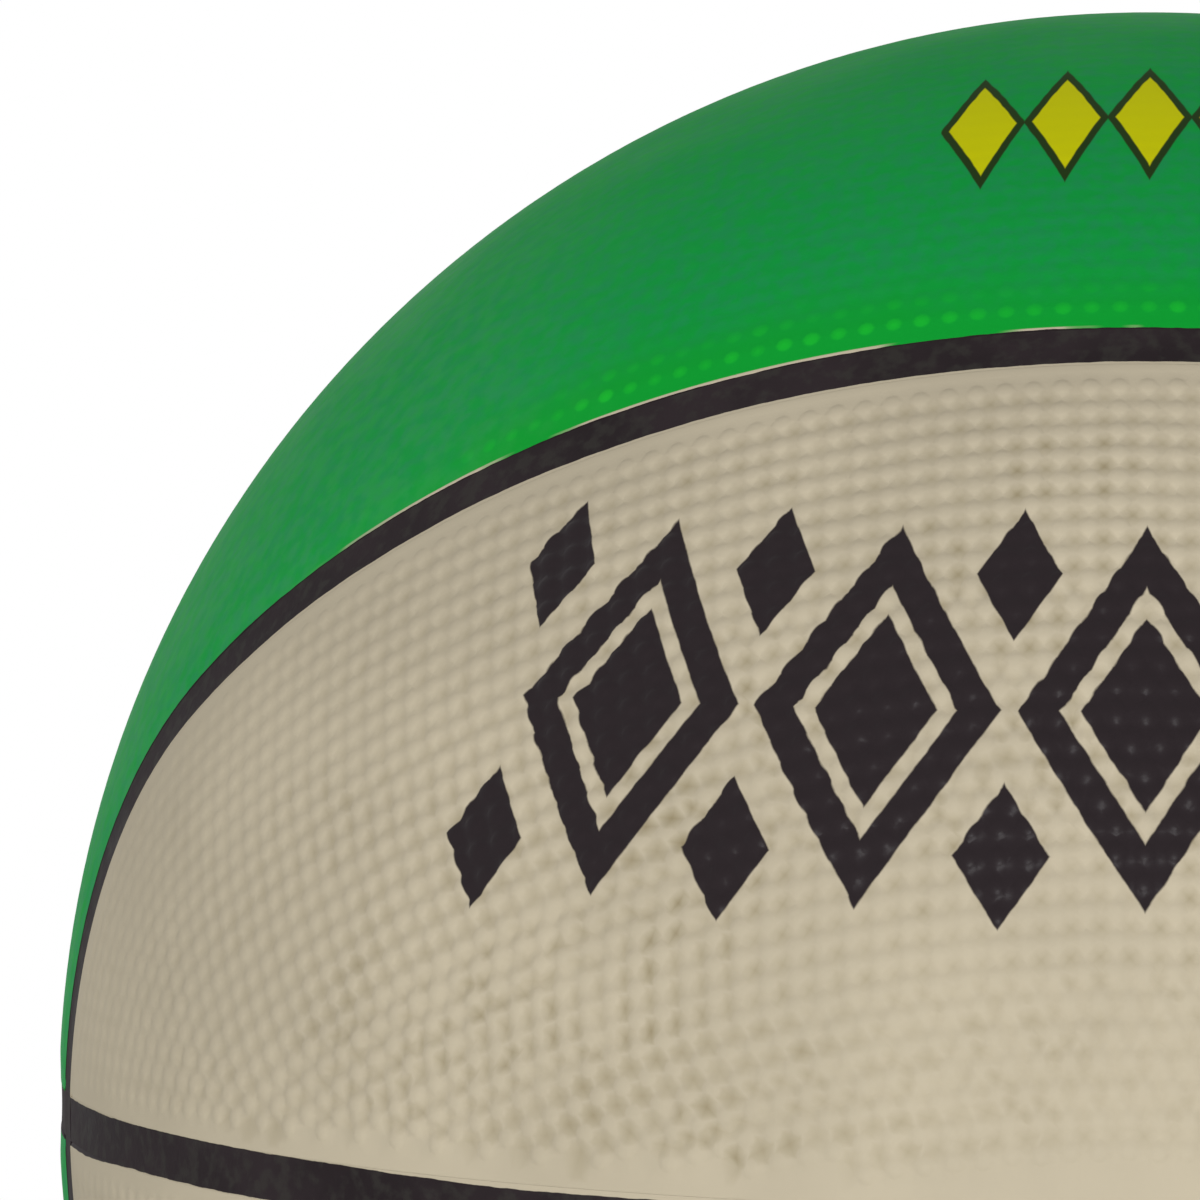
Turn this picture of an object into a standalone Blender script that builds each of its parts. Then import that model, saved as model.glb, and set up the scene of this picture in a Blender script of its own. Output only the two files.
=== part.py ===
"""Mini basketball: an air bladder, a wound carcass, eight cover panels, black seam strips and a valve.

Metres, +Z up. The origin is the ball's centre. The level seam lies in the XY plane, the upright seam
in the XZ plane, and the two long seams are closed curves round -Y (the front) and +Y (the back).
"""

import math

import bmesh
import bpy
import numpy as np
from mathutils import Matrix, Vector
from mathutils.geometry import delaunay_2d_cdt

# Cover
BALL_DIAMETER = 0.178
PANEL_THICKNESS = 0.0016
PANEL_EDGE_CHAMFER = 0.0004

# Seams: the black channels between the panels
SEAM_WIDTH = 0.0036
STRIP_THICKNESS = 0.0010
LONG_SEAM_LEAN = math.radians(45.0)  # of a long seam's straight run, from the level seam
LONG_SEAM_END_DISTANCE = 0.0217  # along the level seam, from the upright seam to a long seam

# Inner layers
WINDING_THICKNESS = 0.0006
BLADDER_THICKNESS = 0.0009

# Valve: a moulded rubber housing through all layers, and a plug that pulls out of it
VALVE_LATITUDE = math.radians(20.0)  # above the level seam, in the middle of the back
VALVE_RECESS = 0.0003  # of the valve's flat face, under the cover's surface
NEEDLE_HOLE_DIAMETER = 0.0018
NEEDLE_HOLE_DEPTH = 0.0040
PLUG_WALL = 0.0011  # round the needle hole
PLUG_LIP = 0.0010  # of the head, past the shank
PLUG_HEAD_THICKNESS = 0.0012
PLUG_LENGTH = 0.0125
PLUG_TIP_LENGTH = 0.0015
COLLAR_WALL = 0.0016  # of the housing round the plug's head
STEM_WALL = 0.0018  # of the housing round the plug's shank
STEM_TAIL = 0.0035  # of the housing past the plug's tip
FLANGE_DIAMETER = 0.0240
FLANGE_THICKNESS = 0.0010

FIT_GAP = 0.0003  # between pieces that touch

# Fineness of the faceted surfaces
LATTICE_LEVEL = 4
EDGE_STEP = math.radians(6.5)
RIM_CLEARANCE = math.radians(4.6)  # of lattice points from a skin's rim
TURN_STEPS = 24
FLANGE_STEPS = 3
MERGE_DISTANCE = 1e-7
SHARP_ANGLE = math.radians(30)

RIGHT = np.array((1.0, 0.0, 0.0))
FRONT = np.array((0.0, -1.0, 0.0))
UP = np.array((0.0, 0.0, 1.0))

# Colour and roughness of each finish
CREAM_RUBBER = ((0.50, 0.43, 0.30), 0.55)
GREEN_RUBBER = ((0.010, 0.250, 0.050), 0.55)
BLACK_RUBBER = ((0.022, 0.020, 0.022), 0.35)
THREAD = ((0.62, 0.60, 0.52), 0.80)
BUTYL = ((0.012, 0.012, 0.013), 0.50)

# Angles, seen from the ball's centre
BALL_RADIUS = BALL_DIAMETER / 2
HALF_SEAM = SEAM_WIDTH / 2 / BALL_RADIUS
GAP_ANGLE = FIT_GAP / BALL_RADIUS
CHAMFER_ANGLE = PANEL_EDGE_CHAMFER / BALL_RADIUS
HALF_STRIP = HALF_SEAM - GAP_ANGLE

# A long seam: great circles that lean both ways from the level seam, joined by an arc at each end.
# The arc's centre lies on the level seam, at ARC_CENTRE_TURN from the upright seam.
END_TURN = LONG_SEAM_END_DISTANCE / BALL_RADIUS
ARC_CENTRE_TURN = math.atan2(math.sin(END_TURN), math.cos(END_TURN) - math.sin(LONG_SEAM_LEAN))
ARC_RADIUS = ARC_CENTRE_TURN - END_TURN
ARC_SWEEP = math.asin(math.cos(LONG_SEAM_LEAN) / math.cos(ARC_RADIUS))
RUN_START = math.acos(math.cos(ARC_CENTRE_TURN) / math.cos(ARC_RADIUS))
ARC_CENTRE = -math.cos(ARC_CENTRE_TURN) * RIGHT + math.sin(ARC_CENTRE_TURN) * FRONT
ARC_AXIS = -math.sin(ARC_CENTRE_TURN) * RIGHT - math.cos(ARC_CENTRE_TURN) * FRONT
RUN_MIDDLE = math.cos(LONG_SEAM_LEAN) * FRONT + math.sin(LONG_SEAM_LEAN) * UP
RUN_NORMAL = math.cos(LONG_SEAM_LEAN) * UP - math.sin(LONG_SEAM_LEAN) * FRONT

VALVE_AXIS = math.sin(VALVE_LATITUDE) * UP - math.cos(VALVE_LATITUDE) * FRONT
VALVE_SIDE = -RIGHT
VALVE_TOP = np.cross(VALVE_AXIS, VALVE_SIDE)


def lattice_points():
    """Evenly spread directions, and how near the centre the facets between them come, as a share."""
    ball = bmesh.new()
    bmesh.ops.create_icosphere(ball, subdivisions=LATTICE_LEVEL, radius=1.0)
    points = np.array([vert.co.normalized() for vert in ball.verts])
    nearest = min(face.calc_center_median().dot(face.normal) for face in ball.faces)
    ball.free()
    return points, nearest


def steps_for(angle):
    return math.ceil(angle / EDGE_STEP)


LATTICE, FACET_SHARE = lattice_points()
ARC_STEPS = steps_for(ARC_SWEEP * math.sin(ARC_RADIUS))
RUN_STEPS = steps_for(math.pi - 2 * RUN_START)
LEVEL_STEPS = steps_for(math.pi - 2 * END_TURN)
SHORT_STEPS = steps_for(END_TURN)
HALF_UPRIGHT_STEPS = steps_for(math.pi)

# Radii from the cover inwards. Each layer clears the facets of the one outside it.
PANEL_FLOOR = BALL_RADIUS - PANEL_THICKNESS
STRIP_CROWN = PANEL_FLOOR + STRIP_THICKNESS
WINDING_OUTSIDE = PANEL_FLOOR * FACET_SHARE - FIT_GAP
WINDING_INSIDE = WINDING_OUTSIDE - WINDING_THICKNESS
BLADDER_OUTSIDE = WINDING_INSIDE - FIT_GAP
BLADDER_INSIDE = BLADDER_OUTSIDE - BLADDER_THICKNESS
FLANGE_CROWN = BLADDER_INSIDE * FACET_SHARE - FIT_GAP

NEEDLE_HOLE_RADIUS = NEEDLE_HOLE_DIAMETER / 2
SHANK_RADIUS = NEEDLE_HOLE_RADIUS + PLUG_WALL
HEAD_RADIUS = SHANK_RADIUS + PLUG_LIP
BORE_RADIUS = SHANK_RADIUS + FIT_GAP
HEAD_SEAT_RADIUS = HEAD_RADIUS + FIT_GAP
COLLAR_RADIUS = HEAD_SEAT_RADIUS + COLLAR_WALL
STEM_RADIUS = BORE_RADIUS + STEM_WALL
VALVE_HOLE_RADIUS = COLLAR_RADIUS + FIT_GAP


def mirrored(points, sides):
    return np.asarray(points) * np.asarray(sides, float)


def end_arc(offset, angle):
    """A direction on the front long seam's left end arc, offset outwards from its centre line."""
    reach = ARC_RADIUS + offset
    outwards = math.cos(angle) * ARC_AXIS + math.sin(angle) * UP
    return math.cos(reach) * ARC_CENTRE + math.sin(reach) * outwards


def arc_angle_at(offset, level_offset):
    """Where the end arc, offset by so much, is level_offset above the level seam."""
    return math.asin(math.sin(level_offset) / math.sin(ARC_RADIUS + offset))


def upper_long_seam(offset, level_offset):
    """Directions along the upper half of the front long seam, from its left end to its right one."""
    angles = [arc_angle_at(offset, level_offset)]
    angles += [ARC_SWEEP * step / ARC_STEPS for step in range(1, ARC_STEPS + 1)]
    left = np.array([end_arc(offset, angle) for angle in angles])
    run = []
    for step in range(1, RUN_STEPS):
        turn = RUN_START + (math.pi - 2 * RUN_START) * step / RUN_STEPS
        along = math.sin(turn) * RUN_MIDDLE - math.cos(turn) * RIGHT
        run.append(math.cos(offset) * along + math.sin(offset) * RUN_NORMAL)
    return np.concatenate((left, run, mirrored(left, (-1, 1, 1))[::-1]))


def level_run(start, end, count):
    """Directions at one height, along the level seam from one direction to another."""
    latitude = math.asin(start[2])
    first = math.atan2(start[0], -start[1])
    last = math.atan2(end[0], -end[1])
    longitudes = [first + (last - first) * step / count for step in range(count + 1)]
    flat = np.array([math.sin(turn) * RIGHT + math.cos(turn) * FRONT for turn in longitudes])
    return math.cos(latitude) * flat + math.sin(latitude) * UP


def upright_run(offset, first, last, count):
    """Directions beside the upright seam, from one turn to another, counted from -X over the top."""
    turns = [first + (last - first) * step / count for step in range(count + 1)]
    ring = np.array([math.sin(turn) * UP - math.cos(turn) * RIGHT for turn in turns])
    return math.cos(offset) * ring + math.sin(offset) * FRONT


def crossing(long_offset, level_offset):
    """The left corner where lines beside the front long seam and the level seam meet."""
    return end_arc(long_offset, arc_angle_at(long_offset, level_offset))


def pole_corner(upright_offset, level_offset):
    """The left corner where lines beside the upright seam and the level seam meet."""
    front = math.sin(upright_offset)
    height = math.sin(level_offset)
    return front * FRONT + height * UP - math.sqrt(1 - front**2 - height**2) * RIGHT


def centre_loop(inset):
    """Outline of the front upper panel, seen from outside and turning left, inset from its seams."""
    edge = HALF_SEAM + inset
    corner = crossing(-edge, edge)
    below = level_run(corner, mirrored(corner, (-1, 1, 1)), LEVEL_STEPS)
    above = upper_long_seam(-edge, edge)[::-1]
    return np.concatenate((below[:-1], above[:-1]))


def band_loop(inset):
    """Outline of the panel between the front long seam and the top of the upright seam."""
    edge = HALF_SEAM + inset
    start = math.asin(math.tan(edge))
    long_side = upper_long_seam(edge, edge)
    left_end = level_run(pole_corner(edge, edge), crossing(edge, edge), SHORT_STEPS)
    right_end = mirrored(left_end, (-1, 1, 1))[::-1]
    over = upright_run(edge, math.pi - start, start, HALF_UPRIGHT_STEPS)
    return np.concatenate((long_side[:-1], right_end[:-1], over[:-1], left_end[:-1]))


def valve_hole(radius):
    """Outline of the valve's hole through a skin of this radius, with the skin on its left."""
    reach = math.asin(VALVE_HOLE_RADIUS / radius)
    turns = [-2 * math.pi * step / TURN_STEPS for step in range(TURN_STEPS)]
    round_axis = [math.cos(turn) * VALVE_SIDE + math.sin(turn) * VALVE_TOP for turn in turns]
    return math.cos(reach) * VALVE_AXIS + math.sin(reach) * np.array(round_axis)


def flattened(directions, centre):
    """A stereographic picture of directions, seen from outside, with centre in its middle."""
    side = np.cross(RIGHT, centre)
    side /= np.linalg.norm(side)
    top = np.cross(centre, side)
    spread = 2 / (1 + directions @ centre)
    return np.stack((directions @ side * spread, directions @ top * spread), axis=1)


def skin(loops, centre):
    """Directions and triangles of a skin inside the first loop and outside the others."""
    rim = np.concatenate(loops)
    clear_of_rim = (LATTICE @ rim.T).max(axis=1) < math.cos(RIM_CLEARANCE)
    points = np.concatenate((rim, LATTICE[clear_of_rim]))
    edges = []
    owner = np.full(len(points), -1)
    first = 0
    for index, loop in enumerate(loops):
        count = len(loop)
        edges += [(first + step, first + (step + 1) % count) for step in range(count)]
        owner[first : first + count] = index
        first += count
    flat = [Vector(point) for point in flattened(points, centre)]
    enclosed = 1
    _, _, faces, sources, _, _ = delaunay_2d_cdt(flat, edges, [], enclosed, MERGE_DISTANCE)
    triangles = np.array([[sources[corner][0] for corner in face] for face in faces])
    in_hole = (owner[triangles] == owner[triangles][:, :1]).all(axis=1) & (owner[triangles[:, 0]] > 0)
    triangles = triangles[~in_hole]
    used, renumbered = np.unique(triangles, return_inverse=True)
    return points[used], renumbered.reshape(-1, 3)


def layer(rows, centre):
    """Vertices and faces of a wall between two skins.

    rows holds (radius, loops) from the outer skin's rim down to the inner skin's.
    """
    outer, outer_faces = skin(rows[0][1], centre)
    inner, inner_faces = skin(rows[-1][1], centre)
    blocks = [outer * rows[0][0]]
    blocks += [np.concatenate(loops) * radius for radius, loops in rows[1:-1]]
    blocks.append(inner * rows[-1][0])
    starts = np.cumsum([0] + [len(block) for block in blocks[:-1]])
    faces = [tuple(face) for face in outer_faces]
    faces += [tuple(face[::-1] + starts[-1]) for face in inner_faces]
    first = 0
    for loop in rows[0][1]:
        count = len(loop)
        for above, below in zip(starts, starts[1:]):
            for step in range(count):
                here = first + step
                there = first + (step + 1) % count
                faces.append((above + here, below + here, below + there, above + there))
        first += count
    return np.concatenate(blocks), faces


def strip(left, right, closed):
    """Vertices and faces of a seam strip between two lines of directions, left of travel and right."""
    lines = (left * STRIP_CROWN, left * PANEL_FLOOR, right * PANEL_FLOOR, right * STRIP_CROWN)
    points = np.stack(lines, axis=1).reshape(-1, 3)
    corners = len(lines)
    count = len(left)
    faces = []
    for step in range(count if closed else count - 1):
        here = step * corners
        there = (step + 1) % count * corners
        for side in range(corners):
            after = (side + 1) % corners
            faces.append((here + side, there + side, there + after, here + after))
    if not closed:
        faces.append(tuple(range(corners)))
        faces.append(tuple(range(count * corners - 1, (count - 1) * corners - 1, -1)))
    return points, faces


def turned(profile):
    """A mesh of a profile of (radius, height) points turned round Z, closed unless it ends on Z."""
    shape = bmesh.new()
    verts = [shape.verts.new((radius, 0.0, height)) for radius, height in profile]
    pairs = list(zip(verts, verts[1:]))
    if profile[0][0] > 0:
        pairs.append((verts[-1], verts[0]))
    edges = [shape.edges.new(pair) for pair in pairs]
    bmesh.ops.spin(
        shape,
        geom=verts + edges,
        cent=(0, 0, 0),
        axis=(0, 0, 1),
        angle=2 * math.pi,
        steps=TURN_STEPS,
        use_merge=True,
    )
    bmesh.ops.remove_doubles(shape, verts=shape.verts, dist=MERGE_DISTANCE)
    bmesh.ops.recalc_face_normals(shape, faces=shape.faces)
    mesh = bpy.data.meshes.new("turned")
    shape.to_mesh(mesh)
    shape.free()
    return mesh


def finish(name, look):
    colour, roughness = look
    material = bpy.data.materials.new(name)
    material.use_nodes = True
    shader = material.node_tree.nodes["Principled BSDF"]
    shader.inputs["Base Color"].default_value = (*colour, 1.0)
    shader.inputs["Roughness"].default_value = roughness
    shader.inputs["Metallic"].default_value = 0.0
    return material


def add_piece(name, mesh, look, parent):
    mesh.name = name
    mesh.materials.append(finish(name, look))
    mesh.shade_smooth()
    mesh.set_sharp_from_angle(angle=SHARP_ANGLE)
    piece = bpy.data.objects.new(name, mesh)
    piece.parent = parent
    bpy.context.scene.collection.objects.link(piece)


def add_solid(name, solid, look, parent):
    points, faces = solid
    mesh = bpy.data.meshes.new(name)
    mesh.from_pydata(points.tolist(), [], [[int(corner) for corner in face] for face in faces])
    add_piece(name, mesh, look, parent)


def add_panels(ball):
    """Four cream panels inside the long seams, and four green bands between them and the upright seam."""
    shoulder = BALL_RADIUS - PANEL_EDGE_CHAMFER
    shape = ((BALL_RADIUS, CHAMFER_ANGLE), (shoulder, 0.0), (PANEL_FLOOR, 0.0))
    panels = (
        ("front_upper_panel", centre_loop, CREAM_RUBBER, (1, 1, 1)),
        ("front_lower_panel", centre_loop, CREAM_RUBBER, (1, 1, -1)),
        ("back_upper_panel", centre_loop, CREAM_RUBBER, (1, -1, 1)),
        ("back_lower_panel", centre_loop, CREAM_RUBBER, (1, -1, -1)),
        ("top_front_band", band_loop, GREEN_RUBBER, (1, 1, 1)),
        ("bottom_front_band", band_loop, GREEN_RUBBER, (1, 1, -1)),
        ("top_back_band", band_loop, GREEN_RUBBER, (1, -1, 1)),
        ("bottom_back_band", band_loop, GREEN_RUBBER, (1, -1, -1)),
    )
    for name, outline, look, side in panels:
        turn = int(np.prod(side))
        rows = [(radius, [mirrored(outline(inset), side)[::turn]]) for radius, inset in shape]
        if name == "back_upper_panel":
            for radius, loops in rows:
                loops.append(valve_hole(radius))
        middle = rows[0][1][0].mean(axis=0)
        add_solid(name, layer(rows, middle / np.linalg.norm(middle)), look, ball)


def add_strip(name, lines, closed, side, ball):
    """A black strip between two lines, left and right of travel, mirrored to its side of the ball."""
    left, right = (mirrored(line, side) for line in lines)
    if np.prod(side) < 0:
        left, right = right, left
    add_solid(name, strip(left, right, closed), BLACK_RUBBER, ball)


def add_seams(ball):
    """The upright ring, the two long loops, and the level seam in the six lengths between them."""
    ring_steps = 2 * HALF_UPRIGHT_STEPS
    ring = [upright_run(edge, 0.0, 2 * math.pi, ring_steps)[:-1] for edge in (-HALF_STRIP, HALF_STRIP)]
    add_strip("upright_seam", ring, True, (1, 1, 1), ball)
    loop = []
    for edge in (HALF_STRIP, -HALF_STRIP):
        upper = upper_long_seam(edge, 0.0)
        loop.append(np.concatenate((upper, mirrored(upper, (1, 1, -1))[-2:0:-1])))
    inner = -HALF_STRIP - GAP_ANGLE
    outer = HALF_STRIP + GAP_ANGLE
    middle = []
    short = []
    for edge in (HALF_STRIP, -HALF_STRIP):
        corner = crossing(inner, edge)
        middle.append(level_run(corner, mirrored(corner, (-1, 1, 1)), LEVEL_STEPS))
        short.append(level_run(pole_corner(outer, edge), crossing(outer, edge), SHORT_STEPS))
    for place, depth in (("front", 1), ("back", -1)):
        add_strip(f"{place}_long_seam", loop, True, (1, depth, 1), ball)
        add_strip(f"{place}_level_seam", middle, False, (1, depth, 1), ball)
        add_strip(f"{place}_left_level_seam", short, False, (1, depth, 1), ball)
        add_strip(f"{place}_right_level_seam", short, False, (-1, depth, 1), ball)


def add_layers(ball):
    """The nylon-wound carcass under the cover and the air bladder in it, both open at the valve."""
    layers = (
        ("wound_carcass", WINDING_OUTSIDE, WINDING_INSIDE, THREAD),
        ("bladder", BLADDER_OUTSIDE, BLADDER_INSIDE, BUTYL),
    )
    for name, outside, inside, look in layers:
        rows = [(radius, [valve_hole(radius)]) for radius in (outside, inside)]
        add_solid(name, layer(rows, -VALVE_AXIS), look, ball)


def add_valve(ball):
    """The housing, whose flange seats under the bladder, and the plug in it, along one axis."""
    axis = bpy.data.objects.new("valve_axis", None)
    turn = Matrix((VALVE_SIDE, VALVE_TOP, VALVE_AXIS)).transposed().to_4x4()
    axis.matrix_world = Matrix.Translation(Vector(VALVE_AXIS * BALL_RADIUS)) @ turn
    axis.parent = ball
    bpy.context.scene.collection.objects.link(axis)

    face = -VALVE_RECESS
    seat = face - PLUG_HEAD_THICKNESS - FIT_GAP
    tip = face - PLUG_LENGTH
    end = tip - STEM_TAIL

    def under_bladder(radius, depth):
        return radius, math.sqrt((FLANGE_CROWN - depth) ** 2 - radius**2) - BALL_RADIUS

    overhang = FLANGE_DIAMETER / 2 - COLLAR_RADIUS
    spread = [COLLAR_RADIUS + overhang * step / FLANGE_STEPS for step in range(FLANGE_STEPS + 1)]
    housing = [(HEAD_SEAT_RADIUS, seat), (HEAD_SEAT_RADIUS, face), (COLLAR_RADIUS, face)]
    housing += [under_bladder(radius, 0.0) for radius in spread]
    housing += [under_bladder(radius, FLANGE_THICKNESS) for radius in spread[::-1]]
    housing += [under_bladder(STEM_RADIUS, FLANGE_THICKNESS)]
    housing += [(STEM_RADIUS, end), (BORE_RADIUS, end), (BORE_RADIUS, seat)]
    add_piece("valve_housing", turned(housing), BLACK_RUBBER, axis)

    plug = [
        (0.0, face - NEEDLE_HOLE_DEPTH - NEEDLE_HOLE_RADIUS),
        (NEEDLE_HOLE_RADIUS, face - NEEDLE_HOLE_DEPTH),
        (NEEDLE_HOLE_RADIUS, face),
        (HEAD_RADIUS, face),
        (HEAD_RADIUS, face - PLUG_HEAD_THICKNESS),
        (SHANK_RADIUS, face - PLUG_HEAD_THICKNESS),
        (SHANK_RADIUS, tip + PLUG_TIP_LENGTH),
        (NEEDLE_HOLE_RADIUS, tip),
        (0.0, tip),
    ]
    add_piece("valve_plug", turned(plug), BUTYL, axis)


def main():
    for leftover in list(bpy.data.objects):
        bpy.data.objects.remove(leftover)
    ball = bpy.data.objects.new("ball_centre", None)
    bpy.context.scene.collection.objects.link(ball)
    add_layers(ball)
    add_panels(ball)
    add_seams(ball)
    add_valve(ball)


main()
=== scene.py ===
"""Looks of a mini basketball: pebbled rubber panels, painted seams, a valve and a plain studio.

Metres, +Z up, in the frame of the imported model. The ball's centre is the origin, the level seam lies in
the XY plane, the upright seam in the XZ plane, and the long seams run round -Y (front) and +Y (back).
"""

import math

import bmesh
import bpy
import numpy as np
from bpy.props import FloatProperty, FloatVectorProperty, IntProperty, PointerProperty
from mathutils import Matrix, Vector
from mathutils.geometry import delaunay_2d_cdt
from mathutils.kdtree import KDTree


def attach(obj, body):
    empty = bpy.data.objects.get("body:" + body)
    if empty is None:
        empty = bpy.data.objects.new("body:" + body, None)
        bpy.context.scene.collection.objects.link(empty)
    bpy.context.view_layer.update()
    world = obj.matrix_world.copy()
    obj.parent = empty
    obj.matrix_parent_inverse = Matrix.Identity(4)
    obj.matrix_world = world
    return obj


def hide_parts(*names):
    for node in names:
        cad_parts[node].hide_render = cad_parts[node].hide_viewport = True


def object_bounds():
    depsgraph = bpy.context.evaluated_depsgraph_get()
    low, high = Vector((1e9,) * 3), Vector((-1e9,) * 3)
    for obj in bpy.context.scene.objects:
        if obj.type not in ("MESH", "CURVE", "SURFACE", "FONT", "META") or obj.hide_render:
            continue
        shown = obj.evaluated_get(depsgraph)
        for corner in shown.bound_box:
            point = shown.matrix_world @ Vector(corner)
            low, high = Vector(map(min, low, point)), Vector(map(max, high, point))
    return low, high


bl_info = {
    "name": "Mini basketball",
    "version": (1, 0, 0),
    "blender": (4, 5, 0),
    "location": "3D View > Sidebar > Ball",
    "description": "Dresses the frame of a mini basketball and sets it in a plain studio",
    "category": "Object",
}

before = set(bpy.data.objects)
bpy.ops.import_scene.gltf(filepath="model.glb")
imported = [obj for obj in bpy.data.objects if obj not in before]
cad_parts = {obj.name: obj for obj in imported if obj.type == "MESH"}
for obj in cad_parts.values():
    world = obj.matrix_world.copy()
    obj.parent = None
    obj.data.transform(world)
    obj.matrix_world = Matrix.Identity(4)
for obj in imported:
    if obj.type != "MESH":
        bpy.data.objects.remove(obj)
CAD_BOX = [list(corner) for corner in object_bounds()]
MM = 0.001

RIGHT = np.array((1.0, 0.0, 0.0))
FRONT = np.array((0.0, -1.0, 0.0))
UP = np.array((0.0, 0.0, 1.0))

# Sides of the loop that a long seam makes
INSIDE = -1
OUTSIDE = 1

# Sizes that the pieces share with the frame
BALL_RADIUS = 0.089
COVER_RADIUS = min(high - low for low, high in zip(*CAD_BOX)) / 2
PANEL_THICKNESS = 0.0016
SEAM_WIDTH = 0.0036
LONG_SEAM_LEAN = math.radians(45.0)
LONG_SEAM_END_DISTANCE = 0.0217
PANEL_FLOOR = BALL_RADIUS - PANEL_THICKNESS
HALF_SEAM = SEAM_WIDTH / 2 / BALL_RADIUS

# A long seam: great circles that lean both ways from the level seam, joined by an arc at each end
END_TURN = LONG_SEAM_END_DISTANCE / BALL_RADIUS
ARC_CENTRE_TURN = math.atan2(math.sin(END_TURN), math.cos(END_TURN) - math.sin(LONG_SEAM_LEAN))
ARC_RADIUS = ARC_CENTRE_TURN - END_TURN
ARC_SWEEP = math.asin(math.cos(LONG_SEAM_LEAN) / math.cos(ARC_RADIUS))
RUN_START = math.acos(math.cos(ARC_CENTRE_TURN) / math.cos(ARC_RADIUS))
ARC_CENTRE = -math.cos(ARC_CENTRE_TURN) * RIGHT + math.sin(ARC_CENTRE_TURN) * FRONT
ARC_AXIS = -math.sin(ARC_CENTRE_TURN) * RIGHT - math.cos(ARC_CENTRE_TURN) * FRONT
RUN_MIDDLE = math.cos(LONG_SEAM_LEAN) * FRONT + math.sin(LONG_SEAM_LEAN) * UP
RUN_NORMAL = math.cos(LONG_SEAM_LEAN) * UP - math.sin(LONG_SEAM_LEAN) * FRONT

# Fineness of outlines, and over how many steps each way a corner is eased
EDGE_STEP = 0.0007 / BALL_RADIUS
CORNER_STEPS = 2
ARC_STEPS = math.ceil(ARC_SWEEP * math.sin(ARC_RADIUS) / EDGE_STEP)
RUN_STEPS = math.ceil((math.pi - 2 * RUN_START) / EDGE_STEP)
LEVEL_STEPS = math.ceil((math.pi - 2 * END_TURN) / EDGE_STEP)
SHORT_STEPS = math.ceil(END_TURN / EDGE_STEP)
HALF_UPRIGHT_STEPS = math.ceil(math.pi / EDGE_STEP)
EDGE_ROWS = 4

# Triangles between points, and the angle past which an edge between them is sharp
WHOLE_HULL = 0  # the triangulation's word for every triangle between the points
COINCIDENT = 1e-9  # points nearer than this are one
SHARP_ANGLE = math.radians(55.0)

# The smooth inside of a panel: points on the whole ball, and how far they stay from a seam's middle
INSIDE_POINTS = 3000
INSIDE_CLEARANCE = 2.5 * HALF_SEAM

# Valve
VALVE_LATITUDE = math.radians(20.0)
VALVE_AXIS = math.sin(VALVE_LATITUDE) * UP - math.cos(VALVE_LATITUDE) * FRONT
VALVE_SIDE = -RIGHT
VALVE_TOP = np.cross(VALVE_AXIS, VALVE_SIDE)
VALVE_HOLE_RADIUS = 0.0052
VALVE_HOLE_STEPS = 72
VALVE_RECESS = 0.0003
COLLAR_RADIUS = 0.0049
HEAD_SEAT_RADIUS = 0.0033
HEAD_RADIUS = 0.0030
HEAD_THICKNESS = 0.0012
SHANK_RADIUS = 0.0020
BORE_RADIUS = 0.0023
STEM_RADIUS = 0.0041
NEEDLE_HOLE_RADIUS = 0.0009
NEEDLE_HOLE_DEPTH = 0.0040
PLUG_LENGTH = 0.0125
PLUG_TIP_LENGTH = 0.0015
STEM_TAIL = 0.0035
FLANGE_RADIUS = 0.0120
FLANGE_THICKNESS = 0.0010
FLANGE_STEPS = 8
FLANGE_CROWN = 0.0842  # from the ball's centre to the outside of the flange
FIT_GAP = 0.0003
TURN_STEPS = 96
TURNED_SHARP_ANGLE = math.radians(50.0)
TURNED_COINCIDENT = 1e-7
ROUND_RADIUS = 0.0003
ROUND_STEPS = 4
ROUND_SHARE = 0.4  # most of a side that a rounded corner takes

# Lines along the top of a seam strip
STRIP_LINES = 9

# Half widths of the seams' paint, in millimetres. The level seam's vary with the turn from the front
OUTER_LONG_PAINT = 1.90
INNER_LONG_PAINT = 1.54
UPRIGHT_PAINT = 1.85
UPPER_LEVEL_TURNS = np.radians((30.0, 43.0, 55.0, 75.0))
UPPER_LEVEL_PAINT = (1.38, 1.75, 1.90, 1.72)
LOWER_LEVEL_TURNS = np.radians((62.0, 70.0))
LOWER_LEVEL_PAINT = (1.75, 2.15)


class PebbleSettings(bpy.types.PropertyGroup):
    """Size and spread of the pebbles moulded into the cover."""

    pitch: FloatProperty(
        name="Pitch",
        description="Distance between neighbouring pebbles",
        default=0.00212,
        min=0.001,
        unit="LENGTH",
    )
    height: FloatProperty(
        name="Height",
        description="Rise of a bare pebble above the pits round it",
        default=0.00042,
        min=0.0,
        unit="LENGTH",
    )
    painted_height: FloatProperty(
        name="Painted height",
        description="Rise of a pebble above the pits round it where paint fills these",
        default=0.00008,
        min=0.0,
        unit="LENGTH",
    )
    painted_fall: FloatProperty(
        name="Painted fall",
        description="Depth by which a painted panel's margin eases down to its seams",
        default=0.00013,
        min=0.0,
        unit="LENGTH",
    )
    fall_width: FloatProperty(
        name="Fall width",
        description="Width over which a painted panel's margin eases down to its seams",
        default=0.0030,
        min=0.0001,
        unit="LENGTH",
    )
    first_row: FloatProperty(
        name="First row",
        description="Distance from a seam's edge to the middle of the first row of pebbles",
        default=0.0022,
        min=0.001,
        unit="LENGTH",
    )
    edge_roll: FloatProperty(
        name="Edge roll",
        description="Width over which a panel's edge rounds down to its seam",
        default=0.0004,
        min=0.0001,
        unit="LENGTH",
    )
    edge_drop: FloatProperty(
        name="Edge drop",
        description="Depth over which a panel's edge rounds down to its seam",
        default=0.00004,
        min=0.0,
        unit="LENGTH",
    )
    rounds: IntProperty(
        name="Spreading rounds",
        description="How often the pebbles push each other apart before they settle",
        default=16,
        min=1,
    )


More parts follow.
